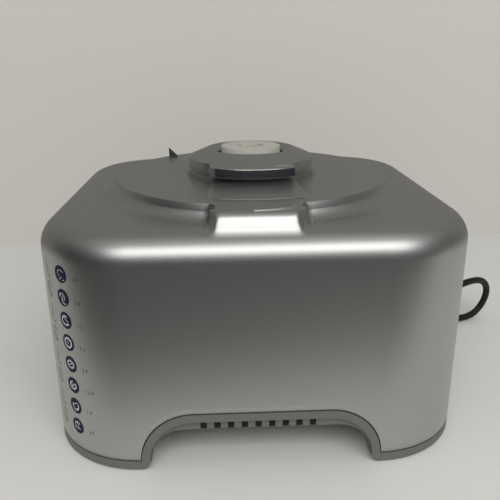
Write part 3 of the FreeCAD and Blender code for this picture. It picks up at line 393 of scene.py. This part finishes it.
# Seat details: a shallow ramp climbs to the hub behind a fine seam, and a low ridge lies near the bridge's end.
# Ramp and ridge are moulded with the shell and painted with it; the seam's near black is painted shade along the
# step.
ramp_front_reach, ramp_back_reach = 73.2, 37.0
ramp_front_side, ramp_back_side = 27.0, 23.0
ramp_front_rise, ramp_back_rise = 0.45, 3.0
ramp_columns, ramp_rows = 28, 10
ramp_sink = 0.2
seam_radius = 75.0
bead_sink = 0.15
ridge_left, ridge_length = -3.0, 24.3
ridge_front, ridge_lean, ridge_bow = -94.9, 7.7, 1.6


def face_outward(mesh):
    """Turns the faces of a closed mesh outwards."""
    shape = bmesh.new()
    shape.from_mesh(mesh)
    bmesh.ops.recalc_face_normals(shape, faces=shape.faces)
    shape.to_mesh(mesh)
    shape.free()


def plain_piece(name, points, faces, closed=True):
    """An object of plain flat faces, turned outwards where it is closed."""
    mesh = bpy.data.meshes.new(name)
    mesh.from_pydata(points, [], faces)
    if closed:
        face_outward(mesh)
    piece = bpy.data.objects.new(name, mesh)
    scene.collection.objects.link(piece)
    return piece


def on_housing(name, points, faces, material, closed=True):
    """A plain piece that belongs to the housing."""
    piece = plain_piece(name, points, faces, closed)
    piece.data.materials.append(material)
    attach(piece, "base")


def bead(name, path, half_width, height, base_height, material):
    """A low rounded rib along a plan path, its foot sunk a little into the face below."""
    shoulder = (half_width * 0.7, height * 0.75)
    profile = [
        (-half_width, -bead_sink), (-shoulder[0], shoulder[1]), (0.0, height),
        shoulder, (half_width, -bead_sink),
    ]
    path = np.array(path, dtype=float)
    along = np.gradient(path, axis=0)
    along /= np.linalg.norm(along, axis=1)[:, None]
    across = np.column_stack([-along[:, 1], along[:, 0]])
    points = []
    for spot, side in zip(path, across):
        for offset, rise in profile:
            points.append((*((spot + side * offset) * MM), (base_height + rise) * MM))
    count = len(profile)
    faces = []
    for step in range(len(path) - 1):
        here, there = step * count, (step + 1) * count
        for k in range(count):
            after = (k + 1) % count
            faces.append((here + k, there + k, there + after, here + after))
    faces.append(tuple(range(count)))
    faces.append(tuple((len(path) - 1) * count + k for k in reversed(range(count))))
    on_housing(name, points, faces, material)


ramp_points = []
for sunk in (False, True):
    for j in range(ramp_rows + 1):
        share = j / ramp_rows
        reach = ramp_front_reach + (ramp_back_reach - ramp_front_reach) * share
        side = ramp_front_side + (ramp_back_side - ramp_front_side) * share
        rise = -ramp_sink if sunk else ramp_front_rise + (ramp_back_rise - ramp_front_rise) * share
        for i in range(ramp_columns + 1):
            x = side * (2 * i / ramp_columns - 1)
            ramp_points.append((x * MM, -math.sqrt(reach ** 2 - x ** 2) * MM, (seat_height + rise) * MM))
ramp_width = ramp_columns + 1
ramp_lower = (ramp_rows + 1) * ramp_width
ramp_faces = []
for j in range(ramp_rows):
    for i in range(ramp_columns):
        spot = j * ramp_width + i
        quad = (spot, spot + 1, spot + ramp_width + 1, spot + ramp_width)
        ramp_faces.append(quad)
        ramp_faces.append(tuple(ramp_lower + k for k in reversed(quad)))
ramp_rim = list(range(ramp_width))
ramp_rim += [j * ramp_width + ramp_columns for j in range(1, ramp_rows + 1)]
ramp_rim += [ramp_rows * ramp_width + i for i in reversed(range(ramp_columns))]
ramp_rim += [j * ramp_width for j in reversed(range(1, ramp_rows))]
for spot, after in zip(ramp_rim, ramp_rim[1:] + ramp_rim[:1]):
    ramp_faces.append((after, spot, ramp_lower + spot, ramp_lower + after))
on_housing("seat_ramp", ramp_points, ramp_faces, silver_paint)

# The seam bead's dark colour is painted shade along the ramp's front edge.
seam_painted_shade = new_material("seam_painted_shade", (0.06, 0.06, 0.058), 0.6)
seam_angles = np.radians(np.linspace(-108.0, -70.5, 40))
seam_path = [(seam_radius * math.cos(angle), seam_radius * math.sin(angle)) for angle in seam_angles]
bead("seat_seam", seam_path, 0.45, 0.35, seat_height, seam_painted_shade)
ridge_path = []
for share in np.linspace(0.0, 1.0, 14):
    ridge_y = ridge_front + ridge_lean * share - ridge_bow * math.sin(math.pi * share)
    ridge_path.append((ridge_left + ridge_length * share, ridge_y))
bead("bridge_ridge", ridge_path, 0.8, 0.75, seat_height, silver_paint)


# Bayonet hub: a moulded collar round the coupling's well, with a coned top and a recessed foot. Two lugs stand
# out at its rim, which the bowl's tabs slide under. The near lug's face is coloured near black as a painted dark
# reflection, and its top edge and a short strip on the crest beside it are bright metal as painted highlights.
hub_radius = 38.5
hub_rim = 148.3
hub_crest = 153.2
hub_crest_radius = 27.0
hub_foot_radius = 37.5
hub_foot_top = 141.2
hub_bevel = 0.5
well_radius = 20.4
well_edge = 150.6
well_floor = 141.0
spindle_gap = 8.0
lug_bottom = 142.9
near_lug_radius = 48.5
near_lug_left = 25.0
near_lug_right = 23.0
near_lug_corner = 3.0
near_lug_hollow = 3.0
lug_fillet = 0.8
fillet_steps = 8
lug_glint_path = [(12.5, -38.6), (15.0, -38.2), (17.5, -37.7), (20.0, -37.2)]
far_lug_radius = 47.0
far_lug_half_width = 15.0


def lug_side(offset, fillet, across, along):
    """From the hub's round to a lug's straight side, by way of the hollow fillet between them."""
    middle_x = across * (offset + fillet)
    middle_y = along * math.sqrt((hub_radius + fillet) ** 2 - (offset + fillet) ** 2)
    start = math.atan2(-middle_y, -middle_x)
    turn = math.atan2(0.0, -across) - start
    turn = (turn + math.pi) % (2 * math.pi) - math.pi
    angles = [start + turn * k / fillet_steps for k in range(fillet_steps + 1)]
    return [(middle_x + fillet * math.cos(angle), middle_y + fillet * math.sin(angle)) for angle in angles]


def round_part(radius, first, last, count):
    """Points between two places on a circle about the hub's axis."""
    start = math.atan2(first[1], first[0])
    turn = (math.atan2(last[1], last[0]) - start) % (2 * math.pi)
    angles = [start + turn * k / count for k in range(1, count)]
    return [(radius * math.cos(angle), radius * math.sin(angle)) for angle in angles]


def on_round(radius, x, along):
    """The point at x on the near or the far half of a circle."""
    return (x, along * math.sqrt(radius ** 2 - x ** 2))


near_left = lug_side(near_lug_left, near_lug_hollow, -1, -1)
near_right = lug_side(near_lug_right, lug_fillet, 1, -1)[::-1]
far_right = lug_side(far_lug_half_width, lug_fillet, 1, 1)
far_left = lug_side(far_lug_half_width, lug_fillet, -1, 1)[::-1]
corner_end = on_round(near_lug_radius, near_lug_corner - near_lug_left, -1)
corner_start = (-near_lug_left, corner_end[1] + 1.5 * near_lug_corner)
near_lug_end = on_round(near_lug_radius, near_lug_right, -1)
far_lug_ends = [on_round(far_lug_radius, side * far_lug_half_width, 1) for side in (1, -1)]
outline = near_left + [corner_start, corner_end]
outline += round_part(near_lug_radius, corner_end, near_lug_end, 30) + [near_lug_end]
outline += near_right + round_part(hub_radius, near_right[-1], far_right[0], 50)
outline += far_right + [far_lug_ends[0]] + round_part(far_lug_radius, *far_lug_ends, 18) + [far_lug_ends[1]]
outline += far_left + round_part(hub_radius, far_left[-1], near_left[0], 50)
outline = np.array(outline)
outline_reach = np.hypot(outline[:, 0], outline[:, 1])
outline_unit = outline / outline_reach[:, None]
on_lug = outline_reach > hub_radius + 0.5
hub_rows = []


def hub_row(reach, height):
    """One ring of the hub's skin, by its distance from the axis and its height."""
    reach = np.broadcast_to(reach, outline_reach.shape)
    hub_rows.append(np.column_stack([outline_unit * reach[:, None], np.broadcast_to(height, reach.shape)]))


def cone_height(reach):
    """Height of the coned top, which turns flat on the lugs."""
    cone = hub_rim + (hub_crest - hub_rim) * (hub_radius - reach) / (hub_radius - hub_crest_radius)
    return np.maximum(cone, hub_rim)


hub_row(spindle_gap, well_floor)
hub_row(well_radius, well_floor)
hub_row(well_radius, well_edge - 0.4)
hub_row(well_radius + 0.4, well_edge)
hub_row(hub_crest_radius - 0.7, hub_crest - 0.15)
hub_row(hub_crest_radius + 0.2, hub_crest - 0.12)
hub_row(hub_crest_radius + 0.9, cone_height(hub_crest_radius + 0.9))
cone_end = hub_radius - 2 * hub_bevel
cone_middle = (hub_crest_radius + cone_end) / 2
hub_row(cone_middle, cone_height(cone_middle))
for share in (0.0, 0.3, 1.0):
    reach = cone_end + (outline_reach - hub_bevel - cone_end) * share
    hub_row(reach, cone_height(reach))
lug_wall_row = len(hub_rows) + 1
hub_row(outline_reach - 0.15, hub_rim - 0.1)
hub_row(outline_reach, hub_rim - hub_bevel)
hub_row(outline_reach, lug_bottom + 0.4)
hub_row(outline_reach - np.where(on_lug, 0.4, 0.0), lug_bottom)
hub_row(hub_radius, lug_bottom)
hub_row(hub_radius, hub_foot_top + 0.6)
hub_row(hub_radius - 0.5, hub_foot_top)
hub_row(hub_foot_radius, hub_foot_top - 0.1)
hub_row(hub_foot_radius, seat_height - 0.05)
hub_row(spindle_gap, seat_height - 0.05)
hub_rows.append(hub_rows[0])
hub_collar = grid_mesh("hub_collar", hub_rows, silver_paint)
# Painted dark reflection for the near lug's face, painted highlight for its top edge and the strip beside it.
lug_painted_reflection = new_material("lug_painted_reflection", (0.026, 0.029, 0.034), 0.42, 0.35)
lug_painted_highlight = new_material("lug_painted_highlight", (0.62, 0.63, 0.64), 0.25, 1.0)
hub_collar.data.materials.append(lug_painted_reflection)
hub_collar.data.materials.append(lug_painted_highlight)
column_count = len(outline)
for face in hub_collar.data.polygons:
    row, column = divmod(face.index, column_count)
    near_lug = outline[column, 1] < 0 and outline_reach[column] > near_lug_radius - 0.2
    if near_lug and row == lug_wall_row:
        face.material_index = 1
    elif near_lug and row == lug_wall_row - 1:
        face.material_index = 2
shape = bmesh.new()
shape.from_mesh(hub_collar.data)
bmesh.ops.remove_doubles(shape, verts=shape.verts, dist=1e-7)
bmesh.ops.recalc_face_normals(shape, faces=shape.faces)
shape.to_mesh(hub_collar.data)
shape.free()
hub_collar.data.set_sharp_from_angle(angle=math.radians(32))
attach(hub_collar, "base")
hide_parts("bayonet_hub")
# A short bright strip on the crest beside the near lug: a painted highlight.
bead("lug_rub", lug_glint_path, 1.1, 0.3, hub_rim, lug_painted_highlight)


# Printed guide: a column of round pictograms down the near left corner, with the dial settings to the right of
# each and fine outlines of tools to the left. It is screen-printed, so each mark follows the corner's curve.
corner_middle = (-(half_length - corner_radius), -(half_width - corner_radius))
guide_angle = math.radians(48.3)
guide_top = 107.6
guide_pitch = 12.5
guide_count = 8
guide_heights = [guide_top - guide_pitch * k for k in range(guide_count)]
guide_settings = ("3 P", "3 P", "1 2", "2 3", "3 P", "1 2 P", "1 P", "3 P")
disc_radius = 4.65
disc_segments = 44
disc_rings = 4
tool_across = -13.5
tool_bold, tool_fine = 0.5, 0.42
figure_across = 8.4
figure_drop = 1.0
figure_size = 3.0
ink_lift = 0.05


def on_corner(across, height, lift):
    """A place on the corner: across to the right from the guide's middle, and up."""
    angle = guide_angle + across / corner_radius
    reach = corner_radius + lift
    return (
        (corner_middle[0] - math.cos(angle) * reach) * MM,
        (corner_middle[1] - math.sin(angle) * reach) * MM,
        height * MM,
    )


def stroke_into(points, faces, path, width, lift, middle):
    """Adds a line of even width, given in the mark's own plane, to a print."""
    path = np.array(path, dtype=float)
    along = np.gradient(path, axis=0)
    along /= np.maximum(np.linalg.norm(along, axis=1), 1e-9)[:, None]
    side = np.column_stack([-along[:, 1], along[:, 0]]) * width / 2
    first = len(points)
    for spot, offset in zip(path, side):
        for sign in (-1, 1):
            u, v = spot + sign * offset
            points.append(on_corner(middle[0] + u, middle[1] + v, lift))
    for k in range(len(path) - 1):
        a = first + 2 * k
        faces.append((a, a + 2, a + 3, a + 1))


def ring_path(radius, start=0.0, end=360.0, squash=1.0, centre=(0.0, 0.0)):
    """Points on an arc or oval, for a stroke."""
    turns = np.radians(np.linspace(start, end, max(8, int(abs(end - start) / 12))))
    return [(centre[0] + radius * math.cos(t), centre[1] + radius * squash * math.sin(t)) for t in turns]


def straight(start, end, count=5):
    """Evenly spaced points on a line."""
    return [(float(x), float(y)) for x, y in np.linspace(start, end, count)]


ink_navy = new_material("ink_navy", (0.006, 0.007, 0.030), 0.45)
ink_navy.node_tree.nodes["Principled BSDF"].inputs["Specular IOR Level"].default_value = 0.12
ink_white = new_material("ink_white", (0.36, 0.37, 0.40), 0.5)
ink_dark = new_material("ink_dark", (0.035, 0.033, 0.034), 0.5)


def row_group():
    """Geometry nodes that repeat one piece in a straight row."""
    group = bpy.data.node_groups.new("straight_row", "GeometryNodeTree")
    sockets = {}
    for label, kind in (
        ("Piece", "NodeSocketObject"), ("Count", "NodeSocketInt"),
        ("Step", "NodeSocketVector"), ("Material", "NodeSocketMaterial"),
    ):
        sockets[label] = group.interface.new_socket(label, in_out="INPUT", socket_type=kind).identifier
    group.interface.new_socket("Geometry", in_out="OUTPUT", socket_type="NodeSocketGeometry")
    entry = group.nodes.new("NodeGroupInput")
    line = group.nodes.new("GeometryNodeMeshLine")
    line.mode = "OFFSET"
    info = group.nodes.new("GeometryNodeObjectInfo")
    repeat = group.nodes.new("GeometryNodeInstanceOnPoints")
    realize = group.nodes.new("GeometryNodeRealizeInstances")
    paint = group.nodes.new("GeometryNodeSetMaterial")
    leave = group.nodes.new("NodeGroupOutput")
    group.links.new(entry.outputs["Count"], line.inputs["Count"])
    group.links.new(entry.outputs["Step"], line.inputs["Offset"])
    group.links.new(entry.outputs["Piece"], info.inputs["Object"])
    group.links.new(line.outputs["Mesh"], repeat.inputs["Points"])
    group.links.new(info.outputs["Geometry"], repeat.inputs["Instance"])
    group.links.new(repeat.outputs["Instances"], realize.inputs["Geometry"])
    group.links.new(realize.outputs["Geometry"], paint.inputs["Geometry"])
    group.links.new(entry.outputs["Material"], paint.inputs["Material"])
    group.links.new(paint.outputs["Geometry"], leave.inputs["Geometry"])
    return group, sockets


straight_row, row_sockets = row_group()


def repeat_in_row(name, piece, count, step, material):
    """A finished mesh with the piece repeated in a row; the single piece is taken away again."""
    carrier = bpy.data.objects.new(name + "_carrier", bpy.data.meshes.new(name + "_carrier"))
    scene.collection.objects.link(carrier)
    row = carrier.modifiers.new("row", "NODES")
    row.node_group = straight_row
    row[row_sockets["Piece"]] = piece
    row[row_sockets["Count"]] = count
    row[row_sockets["Step"]] = step
    row[row_sockets["Material"]] = material
    bpy.context.view_layer.update()
    mesh = bpy.data.meshes.new_from_object(carrier.evaluated_get(bpy.context.evaluated_depsgraph_get()))
    mesh.name = name
    carrier.modifiers.remove(row)
    bpy.data.objects.remove(carrier)
    bpy.data.objects.remove(piece)
    finished = bpy.data.objects.new(name, mesh)
    scene.collection.objects.link(finished)
    return finished


disc_points = [on_corner(0.0, guide_top, ink_lift)]
disc_faces = []
for ring in range(1, disc_rings + 1):
    for k in range(disc_segments):
        angle = 2 * math.pi * k / disc_segments
        reach = disc_radius * ring / disc_rings
        disc_points.append(on_corner(reach * math.cos(angle), guide_top + reach * math.sin(angle), ink_lift))
for k in range(disc_segments):
    after = (k + 1) % disc_segments
    disc_faces.append((0, 1 + k, 1 + after))
    for ring in range(disc_rings - 1):
        inner = 1 + ring * disc_segments
        outer = inner + disc_segments
        disc_faces.append((inner + k, outer + k, outer + after, inner + after))
one_disc = plain_piece("guide_disc", disc_points, disc_faces, closed=False)
guide_discs = repeat_in_row("guide_discs", one_disc, guide_count, (0.0, 0.0, -guide_pitch * MM), ink_navy)
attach(guide_discs, "base")

art = [
    [
        (ring_path(2.4, 20, 250, 0.7, (0.2, 0.6)), 0.36), (straight((-1.2, -2.9), (1.0, -1.2)), 0.4),
        (straight((1.6, -3.2), (2.6, -2.4)), 0.48),
    ],
    [
        (ring_path(2.0, -60, 190, 1.0, (-0.6, 0.2)), 0.56), (ring_path(2.0, 120, 300, 1.0, (1.2, -1.2)), 0.64),
        (straight((-2.6, 2.0), (-1.0, 0.4)), 0.48),
    ],
    [
        (ring_path(2.7, 60, 330, 0.9), 0.96), (straight((-1.6, 1.8), (2.0, -0.6)), 0.64),
        (straight((0.4, -2.8), (2.6, -1.6)), 0.72),
    ],
    [(ring_path(2.6, 0, 360), 1.2), (straight((0.0, 2.0), (0.0, -1.0)), 0.48)],
    [
        (ring_path(2.5, 0, 360, 0.8), 1.04), (straight((-1.4, -0.6), (1.5, 0.9)), 0.64),
        (straight((-1.2, 1.2), (0.2, 2.6)), 0.48),
    ],
    [
        (ring_path(2.4, 90, 400, 0.9), 0.96), (straight((-1.8, -1.6), (1.8, 1.6)), 0.56),
        (straight((-1.8, 1.2), (1.4, -1.8)), 0.56),
    ],
    [
        (ring_path(2.3, 150, 400, 1.1, (0.2, 0.0)), 0.88), (straight((-2.2, 0.4), (1.8, 2.2)), 0.64),
        (straight((-0.6, -2.8), (1.9, -0.9)), 0.64),
    ],
    [
        (ring_path(2.2, 30, 300, 0.9, (0.0, 0.4)), 0.88), (straight((-2.4, -1.2), (2.4, -1.6)), 0.56),
        (straight((-0.6, 2.6), (0.8, -0.4)), 0.64),
    ],
]
art_points, art_faces = [], []
for height, strokes in zip(guide_heights, art):
    for path, width in strokes:
        stroke_into(art_points, art_faces, path, width, ink_lift * 2, (0.0, height))
on_housing("guide_art", art_points, art_faces, ink_white, closed=False)

tools = [
    [
        (straight((-1.5, 4.6), (0.6, -1.0), 7), tool_bold),
        (ring_path(2.6, 160, 330, 1.2, (0.8, -1.4)), tool_fine),
    ],
    [
        (ring_path(2.8, 20, 320, 1.5, (0.0, 0.8)), tool_fine),
        (straight((-1.0, 2.6), (1.2, -2.6), 7), tool_bold),
    ],
]
tool_points, tool_faces = [], []
for index, height in enumerate(guide_heights):
    for path, width in tools[index % 2]:
        stroke_into(tool_points, tool_faces, path, width, ink_lift, (tool_across, height))
on_housing("guide_tools", tool_points, tool_faces, ink_dark, closed=False)


def text_outline(words, size):
    """Flat mesh of some figures, as points in their own plane and faces."""
    letters = bpy.data.curves.new("figures", "FONT")
    letters.body = words
    letters.size = size
    letters.align_x = "LEFT"
    letters.align_y = "CENTER"
    letters.resolution_u = 3
    holder = bpy.data.objects.new("figures", letters)
    scene.collection.objects.link(holder)
    bpy.context.view_layer.update()
    flat = bpy.data.meshes.new_from_object(holder.evaluated_get(bpy.context.evaluated_depsgraph_get()))
    points = [(v.co.x, v.co.y) for v in flat.vertices]
    faces = [tuple(p.vertices) for p in flat.polygons]
    bpy.data.objects.remove(holder)
    bpy.data.meshes.remove(flat)
    return points, faces


figure_points, figure_faces = [], []
for height, words in zip(guide_heights, guide_settings):
    points, faces = text_outline(words, figure_size)
    first = len(figure_points)
    figure_points += [on_corner(figure_across + u, height - figure_drop + v, ink_lift) for u, v in points]
    figure_faces += [tuple(first + k for k in face) for face in faces]
on_housing("guide_figures", figure_points, figure_faces, ink_dark, closed=False)


# Speed knob: a shallow dark dial on the left-hand wall with a groove for its pointer. Its settings are printed
# round it on the wall: 0 at the top, the speeds clockwise and the pulse setting on the other side.
dial_reach = 29.5
dial_height = 85.0
dial_size = 5.0
dial_points, dial_faces = [], []
for words, turn in (("P", -40.0), ("0", 0.0), ("1", 40.0), ("2", 80.0), ("3", 120.0)):
    points, faces = text_outline(words, dial_size)
    middle_u = (max(p[0] for p in points) + min(p[0] for p in points)) / 2
    middle_y = -dial_reach * math.sin(math.radians(turn))
    middle_z = dial_height + dial_reach * math.cos(math.radians(turn))
    first = len(dial_points)
    for u, v in points:
        spot_y = middle_y - (u - middle_u)
        dial_points.append((-(half_length + ink_lift) * MM, spot_y * MM, (middle_z + v) * MM))
    dial_faces += [tuple(first + k for k in face) for face in faces]
on_housing("dial_figures", dial_points, dial_faces, ink_dark, closed=False)


# Mains gland: a moulded taper in the right-hand wall, with ribs round it so that it bends evenly with the cord.
gland_y, gland_z, gland_first = 30.0, 40.0, 118.0
rib_count = 5
rib_pitch = 2.2
rib_segments = 32
rib_wide = 0.9
rib_foot, rib_crest = 4.2, 6.45
rib_profile = (
    (-rib_wide, rib_foot), (-rib_wide * 0.6, rib_crest), (rib_wide * 0.6, rib_crest), (rib_wide, rib_foot),
)
rib_points, rib_faces = [], []
for k in range(rib_segments):
    angle = 2 * math.pi * k / rib_segments
    for offset, reach in rib_profile:
        rib_y = gland_y + reach * math.cos(angle)
        rib_z = gland_z + reach * math.sin(angle)
        rib_points.append(((gland_first + offset) * MM, rib_y * MM, rib_z * MM))
for k in range(rib_segments):
    after = (k + 1) % rib_segments
    for side in range(4):
        across = (side + 1) % 4
        rib_faces.append((k * 4 + side, k * 4 + across, after * 4 + across, after * 4 + side))
one_rib = plain_piece("gland_rib", rib_points, rib_faces)
gland_ribs = repeat_in_row("gland_ribs", one_rib, rib_count, (rib_pitch * MM, 0.0, 0.0), cord_rubber)
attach(gland_ribs, "base")


# Vent comb: nine slots in the strip that hangs under the tunnel's near edge lead air up into the housing.
# Only dark shows in them, so a dark panel in each slot is painted shade for the housing's dark inside.
vent_count = 9
vent_pitch = 7.2
vent_middle = -1.7
vent_first_x = vent_middle - (vent_count - 1) / 2 * vent_pitch
duct_half_width = 1.6
duct_front, duct_back = -106.5, -105.9
duct_bottom, duct_top = 23.1, 28.2
duct_points = []
for depth in (duct_front, duct_back):
    for across, height in ((-1, duct_bottom), (1, duct_bottom), (1, duct_top), (-1, duct_top)):
        duct_points.append(((vent_first_x + across * duct_half_width) * MM, depth * MM, height * MM))
duct_faces = [(0, 1, 2, 3), (4, 7, 6, 5), (0, 4, 5, 1), (1, 5, 6, 2), (2, 6, 7, 3), (3, 7, 4, 0)]
one_duct = plain_piece("duct_shade", duct_points, duct_faces)
# Near black panels: painted shade in the vent slots.
vent_painted_shade = new_material("vent_painted_shade", (0.006, 0.006, 0.006), 0.9)
duct_shades = repeat_in_row("duct_shades", one_duct, vent_count, (vent_pitch * MM, 0.0, 0.0), vent_painted_shade)
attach(duct_shades, "base")


# Everything else keeps its solid's own shape and takes the finish of its stuff: grey tray, pale coupling, dark
# plastics, rubber, plated screws, cast chassis, and the motor's iron, copper and carbon inside.
finishes = {
    "grey_plastic": ((0.125, 0.124, 0.113), 0.52, 0.0, 1400.0, 0.10, 0.10),
    "cream_plastic": ((0.47, 0.465, 0.41), 0.42, 0.0, 700.0, 0.05, 0.04),
    "rubber_black": ((0.014, 0.014, 0.014), 0.75, 0.0, 900.0, 0.25, 0.20),
    "steel": ((0.48, 0.48, 0.49), 0.28, 1.0, 500.0, 0.08, 0.03),
    "zinc_screw": ((0.60, 0.60, 0.61), 0.32, 1.0, 700.0, 0.10, 0.05),
    "cast_alloy": ((0.42, 0.43, 0.44), 0.48, 0.9, 420.0, 0.16, 0.25),
    "black_plastic": ((0.020, 0.020, 0.021), 0.45, 0.0, 1200.0, 0.20, 0.10),
    "lamination_steel": ((0.11, 0.11, 0.115), 0.40, 0.8, 900.0, 0.25, 0.15),
    "copper": ((0.50, 0.20, 0.09), 0.32, 0.9, 1500.0, 0.20, 0.15),
    "carbon": ((0.022, 0.022, 0.023), 0.60, 0.1, 1000.0, 0.25, 0.12),
    "board_green": ((0.015, 0.075, 0.030), 0.38, 0.0, 600.0, 0.15, 0.04),
    "dark_knob": ((0.050, 0.052, 0.055), 0.40, 0.0, 1100.0, 0.12, 0.06),
    "cord_black": ((0.012, 0.012, 0.013), 0.40, 0.0, 900.0, 0.30, 0.08),
    "tie_grey": ((0.020, 0.020, 0.020), 0.50, 0.0, 900.0, 0.20, 0.06),
}
finish_of = {}
for slot_name, (colour, roughness, metallic, scale, spread, relief) in finishes.items():
    finish = new_material(slot_name + "_finish", colour, roughness, metallic)
    finish_of[slot_name] = add_speckle(finish, scale, spread, relief, 0.0002, 0.05)
finish_of["silver_paint"] = silver_paint
for subpart in frame["record"]["subparts"]:
    node = nodes[subpart["node"]]
    for slot in node.material_slots:
        slot.material = finish_of[subpart["material_slot"]]


# Interlock spring: a plain sleeve stands for the small coil under the plunger.
plunger_spring = bpy.data.objects.new("plunger_spring", nodes["interlock_spring"].data.copy())
scene.collection.objects.link(plunger_spring)
plunger_spring.data.materials.clear()
plunger_spring.data.materials.append(finish_of["steel"])
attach(plunger_spring, "base")
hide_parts("interlock_spring")
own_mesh(plunger_spring)


# Stage: a pale table and a wall that is clear from behind. One broad softbox above the near side draws the
# bright line along the top edge. In reflections table, wall and room are darker, as in a dim kitchen.
floor_size = 6.0
wall_y = 0.285
wall_height = 4.0


def stage_sheet(name, corners, material):
    """One large face of the stage."""
    mesh = bpy.data.meshes.new(name)
    mesh.from_pydata(corners, [], [(0, 1, 2, 3)])
    mesh.materials.append(material)
    sheet = bpy.data.objects.new(name, mesh)
    scene.collection.objects.link(sheet)
    return sheet


def dim_in_reflections(material, direction, near, far, share):
    """Lets a face fade along a direction towards a dark room, in reflections only."""
    tree = material.node_tree
    shader = tree.nodes["Principled BSDF"]
    colour = tuple(shader.inputs["Base Color"].default_value)
    place = tree.nodes.new("ShaderNodeTexCoord")
    depth = tree.nodes.new("ShaderNodeVectorMath")
    depth.operation = "DOT_PRODUCT"
    depth.inputs[1].default_value = direction
    fade = tree.nodes.new("ShaderNodeMapRange")
    fade.interpolation_type = "SMOOTHSTEP"
    fade.inputs["From Min"].default_value = near
    fade.inputs["From Max"].default_value = far
    ray = tree.nodes.new("ShaderNodeLightPath")
    amount = tree.nodes.new("ShaderNodeMath")
    amount.operation = "MULTIPLY"
    blend = tree.nodes.new("ShaderNodeMix")
    blend.data_type = "RGBA"
    blend.inputs["A"].default_value = colour
    blend.inputs["B"].default_value = (*[c * share for c in colour[:3]], 1.0)
    tree.links.new(place.outputs["Object"], depth.inputs[0])
    tree.links.new(depth.outputs["Value"], fade.inputs["Value"])
    tree.links.new(fade.outputs["Result"], amount.inputs[0])
    tree.links.new(ray.outputs["Is Glossy Ray"], amount.inputs[1])
    tree.links.new(amount.outputs["Value"], blend.inputs["Factor"])
    tree.links.new(blend.outputs["Result"], shader.inputs["Base Color"])


table_pale = new_material("table_pale", (0.72, 0.715, 0.69), 0.5)
dim_in_reflections(table_pale, (0.2, 1.0, 0.0), -0.15, -0.25, 0.02)
wall_pale = new_material("wall_pale", (0.60, 0.585, 0.55), 0.7)
dim_in_reflections(wall_pale, (0.0, 0.0, 1.0), -0.1, 0.02, 0.42)
wall_tree = wall_pale.node_tree
wall_side = wall_tree.nodes.new("ShaderNodeNewGeometry")
see_through = wall_tree.nodes.new("ShaderNodeBsdfTransparent")
wall_choice = wall_tree.nodes.new("ShaderNodeMixShader")
wall_tree.links.new(wall_side.outputs["Backfacing"], wall_choice.inputs["Fac"])
wall_tree.links.new(wall_tree.nodes["Principled BSDF"].outputs["BSDF"], wall_choice.inputs[1])
wall_tree.links.new(see_through.outputs["BSDF"], wall_choice.inputs[2])
wall_tree.links.new(wall_choice.outputs["Shader"], wall_tree.nodes["Material Output"].inputs["Surface"])
around = ((-1, -1), (1, -1), (1, 1), (-1, 1))
floor = stage_sheet("floor", [(x * floor_size, y * floor_size, 0.0) for x, y in around], table_pale)
backdrop_corners = [(x * floor_size, wall_y, wall_height * max(z, 0)) for x, z in around]
backdrop = stage_sheet("backdrop", backdrop_corners, wall_pale)

world = bpy.data.worlds.new("room")
world.use_nodes = True
scene.world = world
room_tree = world.node_tree
room = room_tree.nodes["Background"]
room.inputs["Color"].default_value = (0.80, 0.80, 0.78, 1.0)
room_ray = room_tree.nodes.new("ShaderNodeLightPath")
room_place = room_tree.nodes.new("ShaderNodeTexCoord")
room_side = room_tree.nodes.new("ShaderNodeSeparateXYZ")
room_tree.links.new(room_place.outputs["Generated"], room_side.inputs["Vector"])
glow_sum = room_tree.nodes.new("ShaderNodeMath")
for index, (axis, low, high, level) in enumerate((("X", -0.4, 1.0, 0.10), ("Z", 0.35, 0.95, 0.50))):
    glow = room_tree.nodes.new("ShaderNodeMapRange")
    glow.interpolation_type = "SMOOTHSTEP"
    glow.inputs["From Min"].default_value = low
    glow.inputs["From Max"].default_value = high
    glow.inputs["To Max"].default_value = level
    room_tree.links.new(room_side.outputs[axis], glow.inputs["Value"])
    room_tree.links.new(glow.outputs["Result"], glow_sum.inputs[index])
room_level = room_tree.nodes.new("ShaderNodeMix")
room_level.inputs["A"].default_value = 0.78
room_tree.links.new(room_ray.outputs["Is Glossy Ray"], room_level.inputs["Factor"])
room_tree.links.new(glow_sum.outputs["Value"], room_level.inputs["B"])
room_tree.links.new(room_level.outputs["Result"], room.inputs["Strength"])


def softbox(name, place, aim, width, height, power):
    """A rectangular lamp turned towards a point."""
    lamp = bpy.data.lights.new(name, "AREA")
    lamp.shape = "RECTANGLE"
    lamp.size = width
    lamp.size_y = height
    lamp.energy = power
    lamp_object = bpy.data.objects.new(name, lamp)
    lamp_object.location = place
    lamp_object.rotation_euler = (Vector(aim) - Vector(place)).to_track_quat("-Z", "Y").to_euler()
    scene.collection.objects.link(lamp_object)


softbox("key_softbox", (0.12, -1.05, 0.98), (0.0, -0.10, 0.12), 1.60, 0.62, 11.0)


# Bring the scene's state up to date.
bpy.context.view_layer.update()
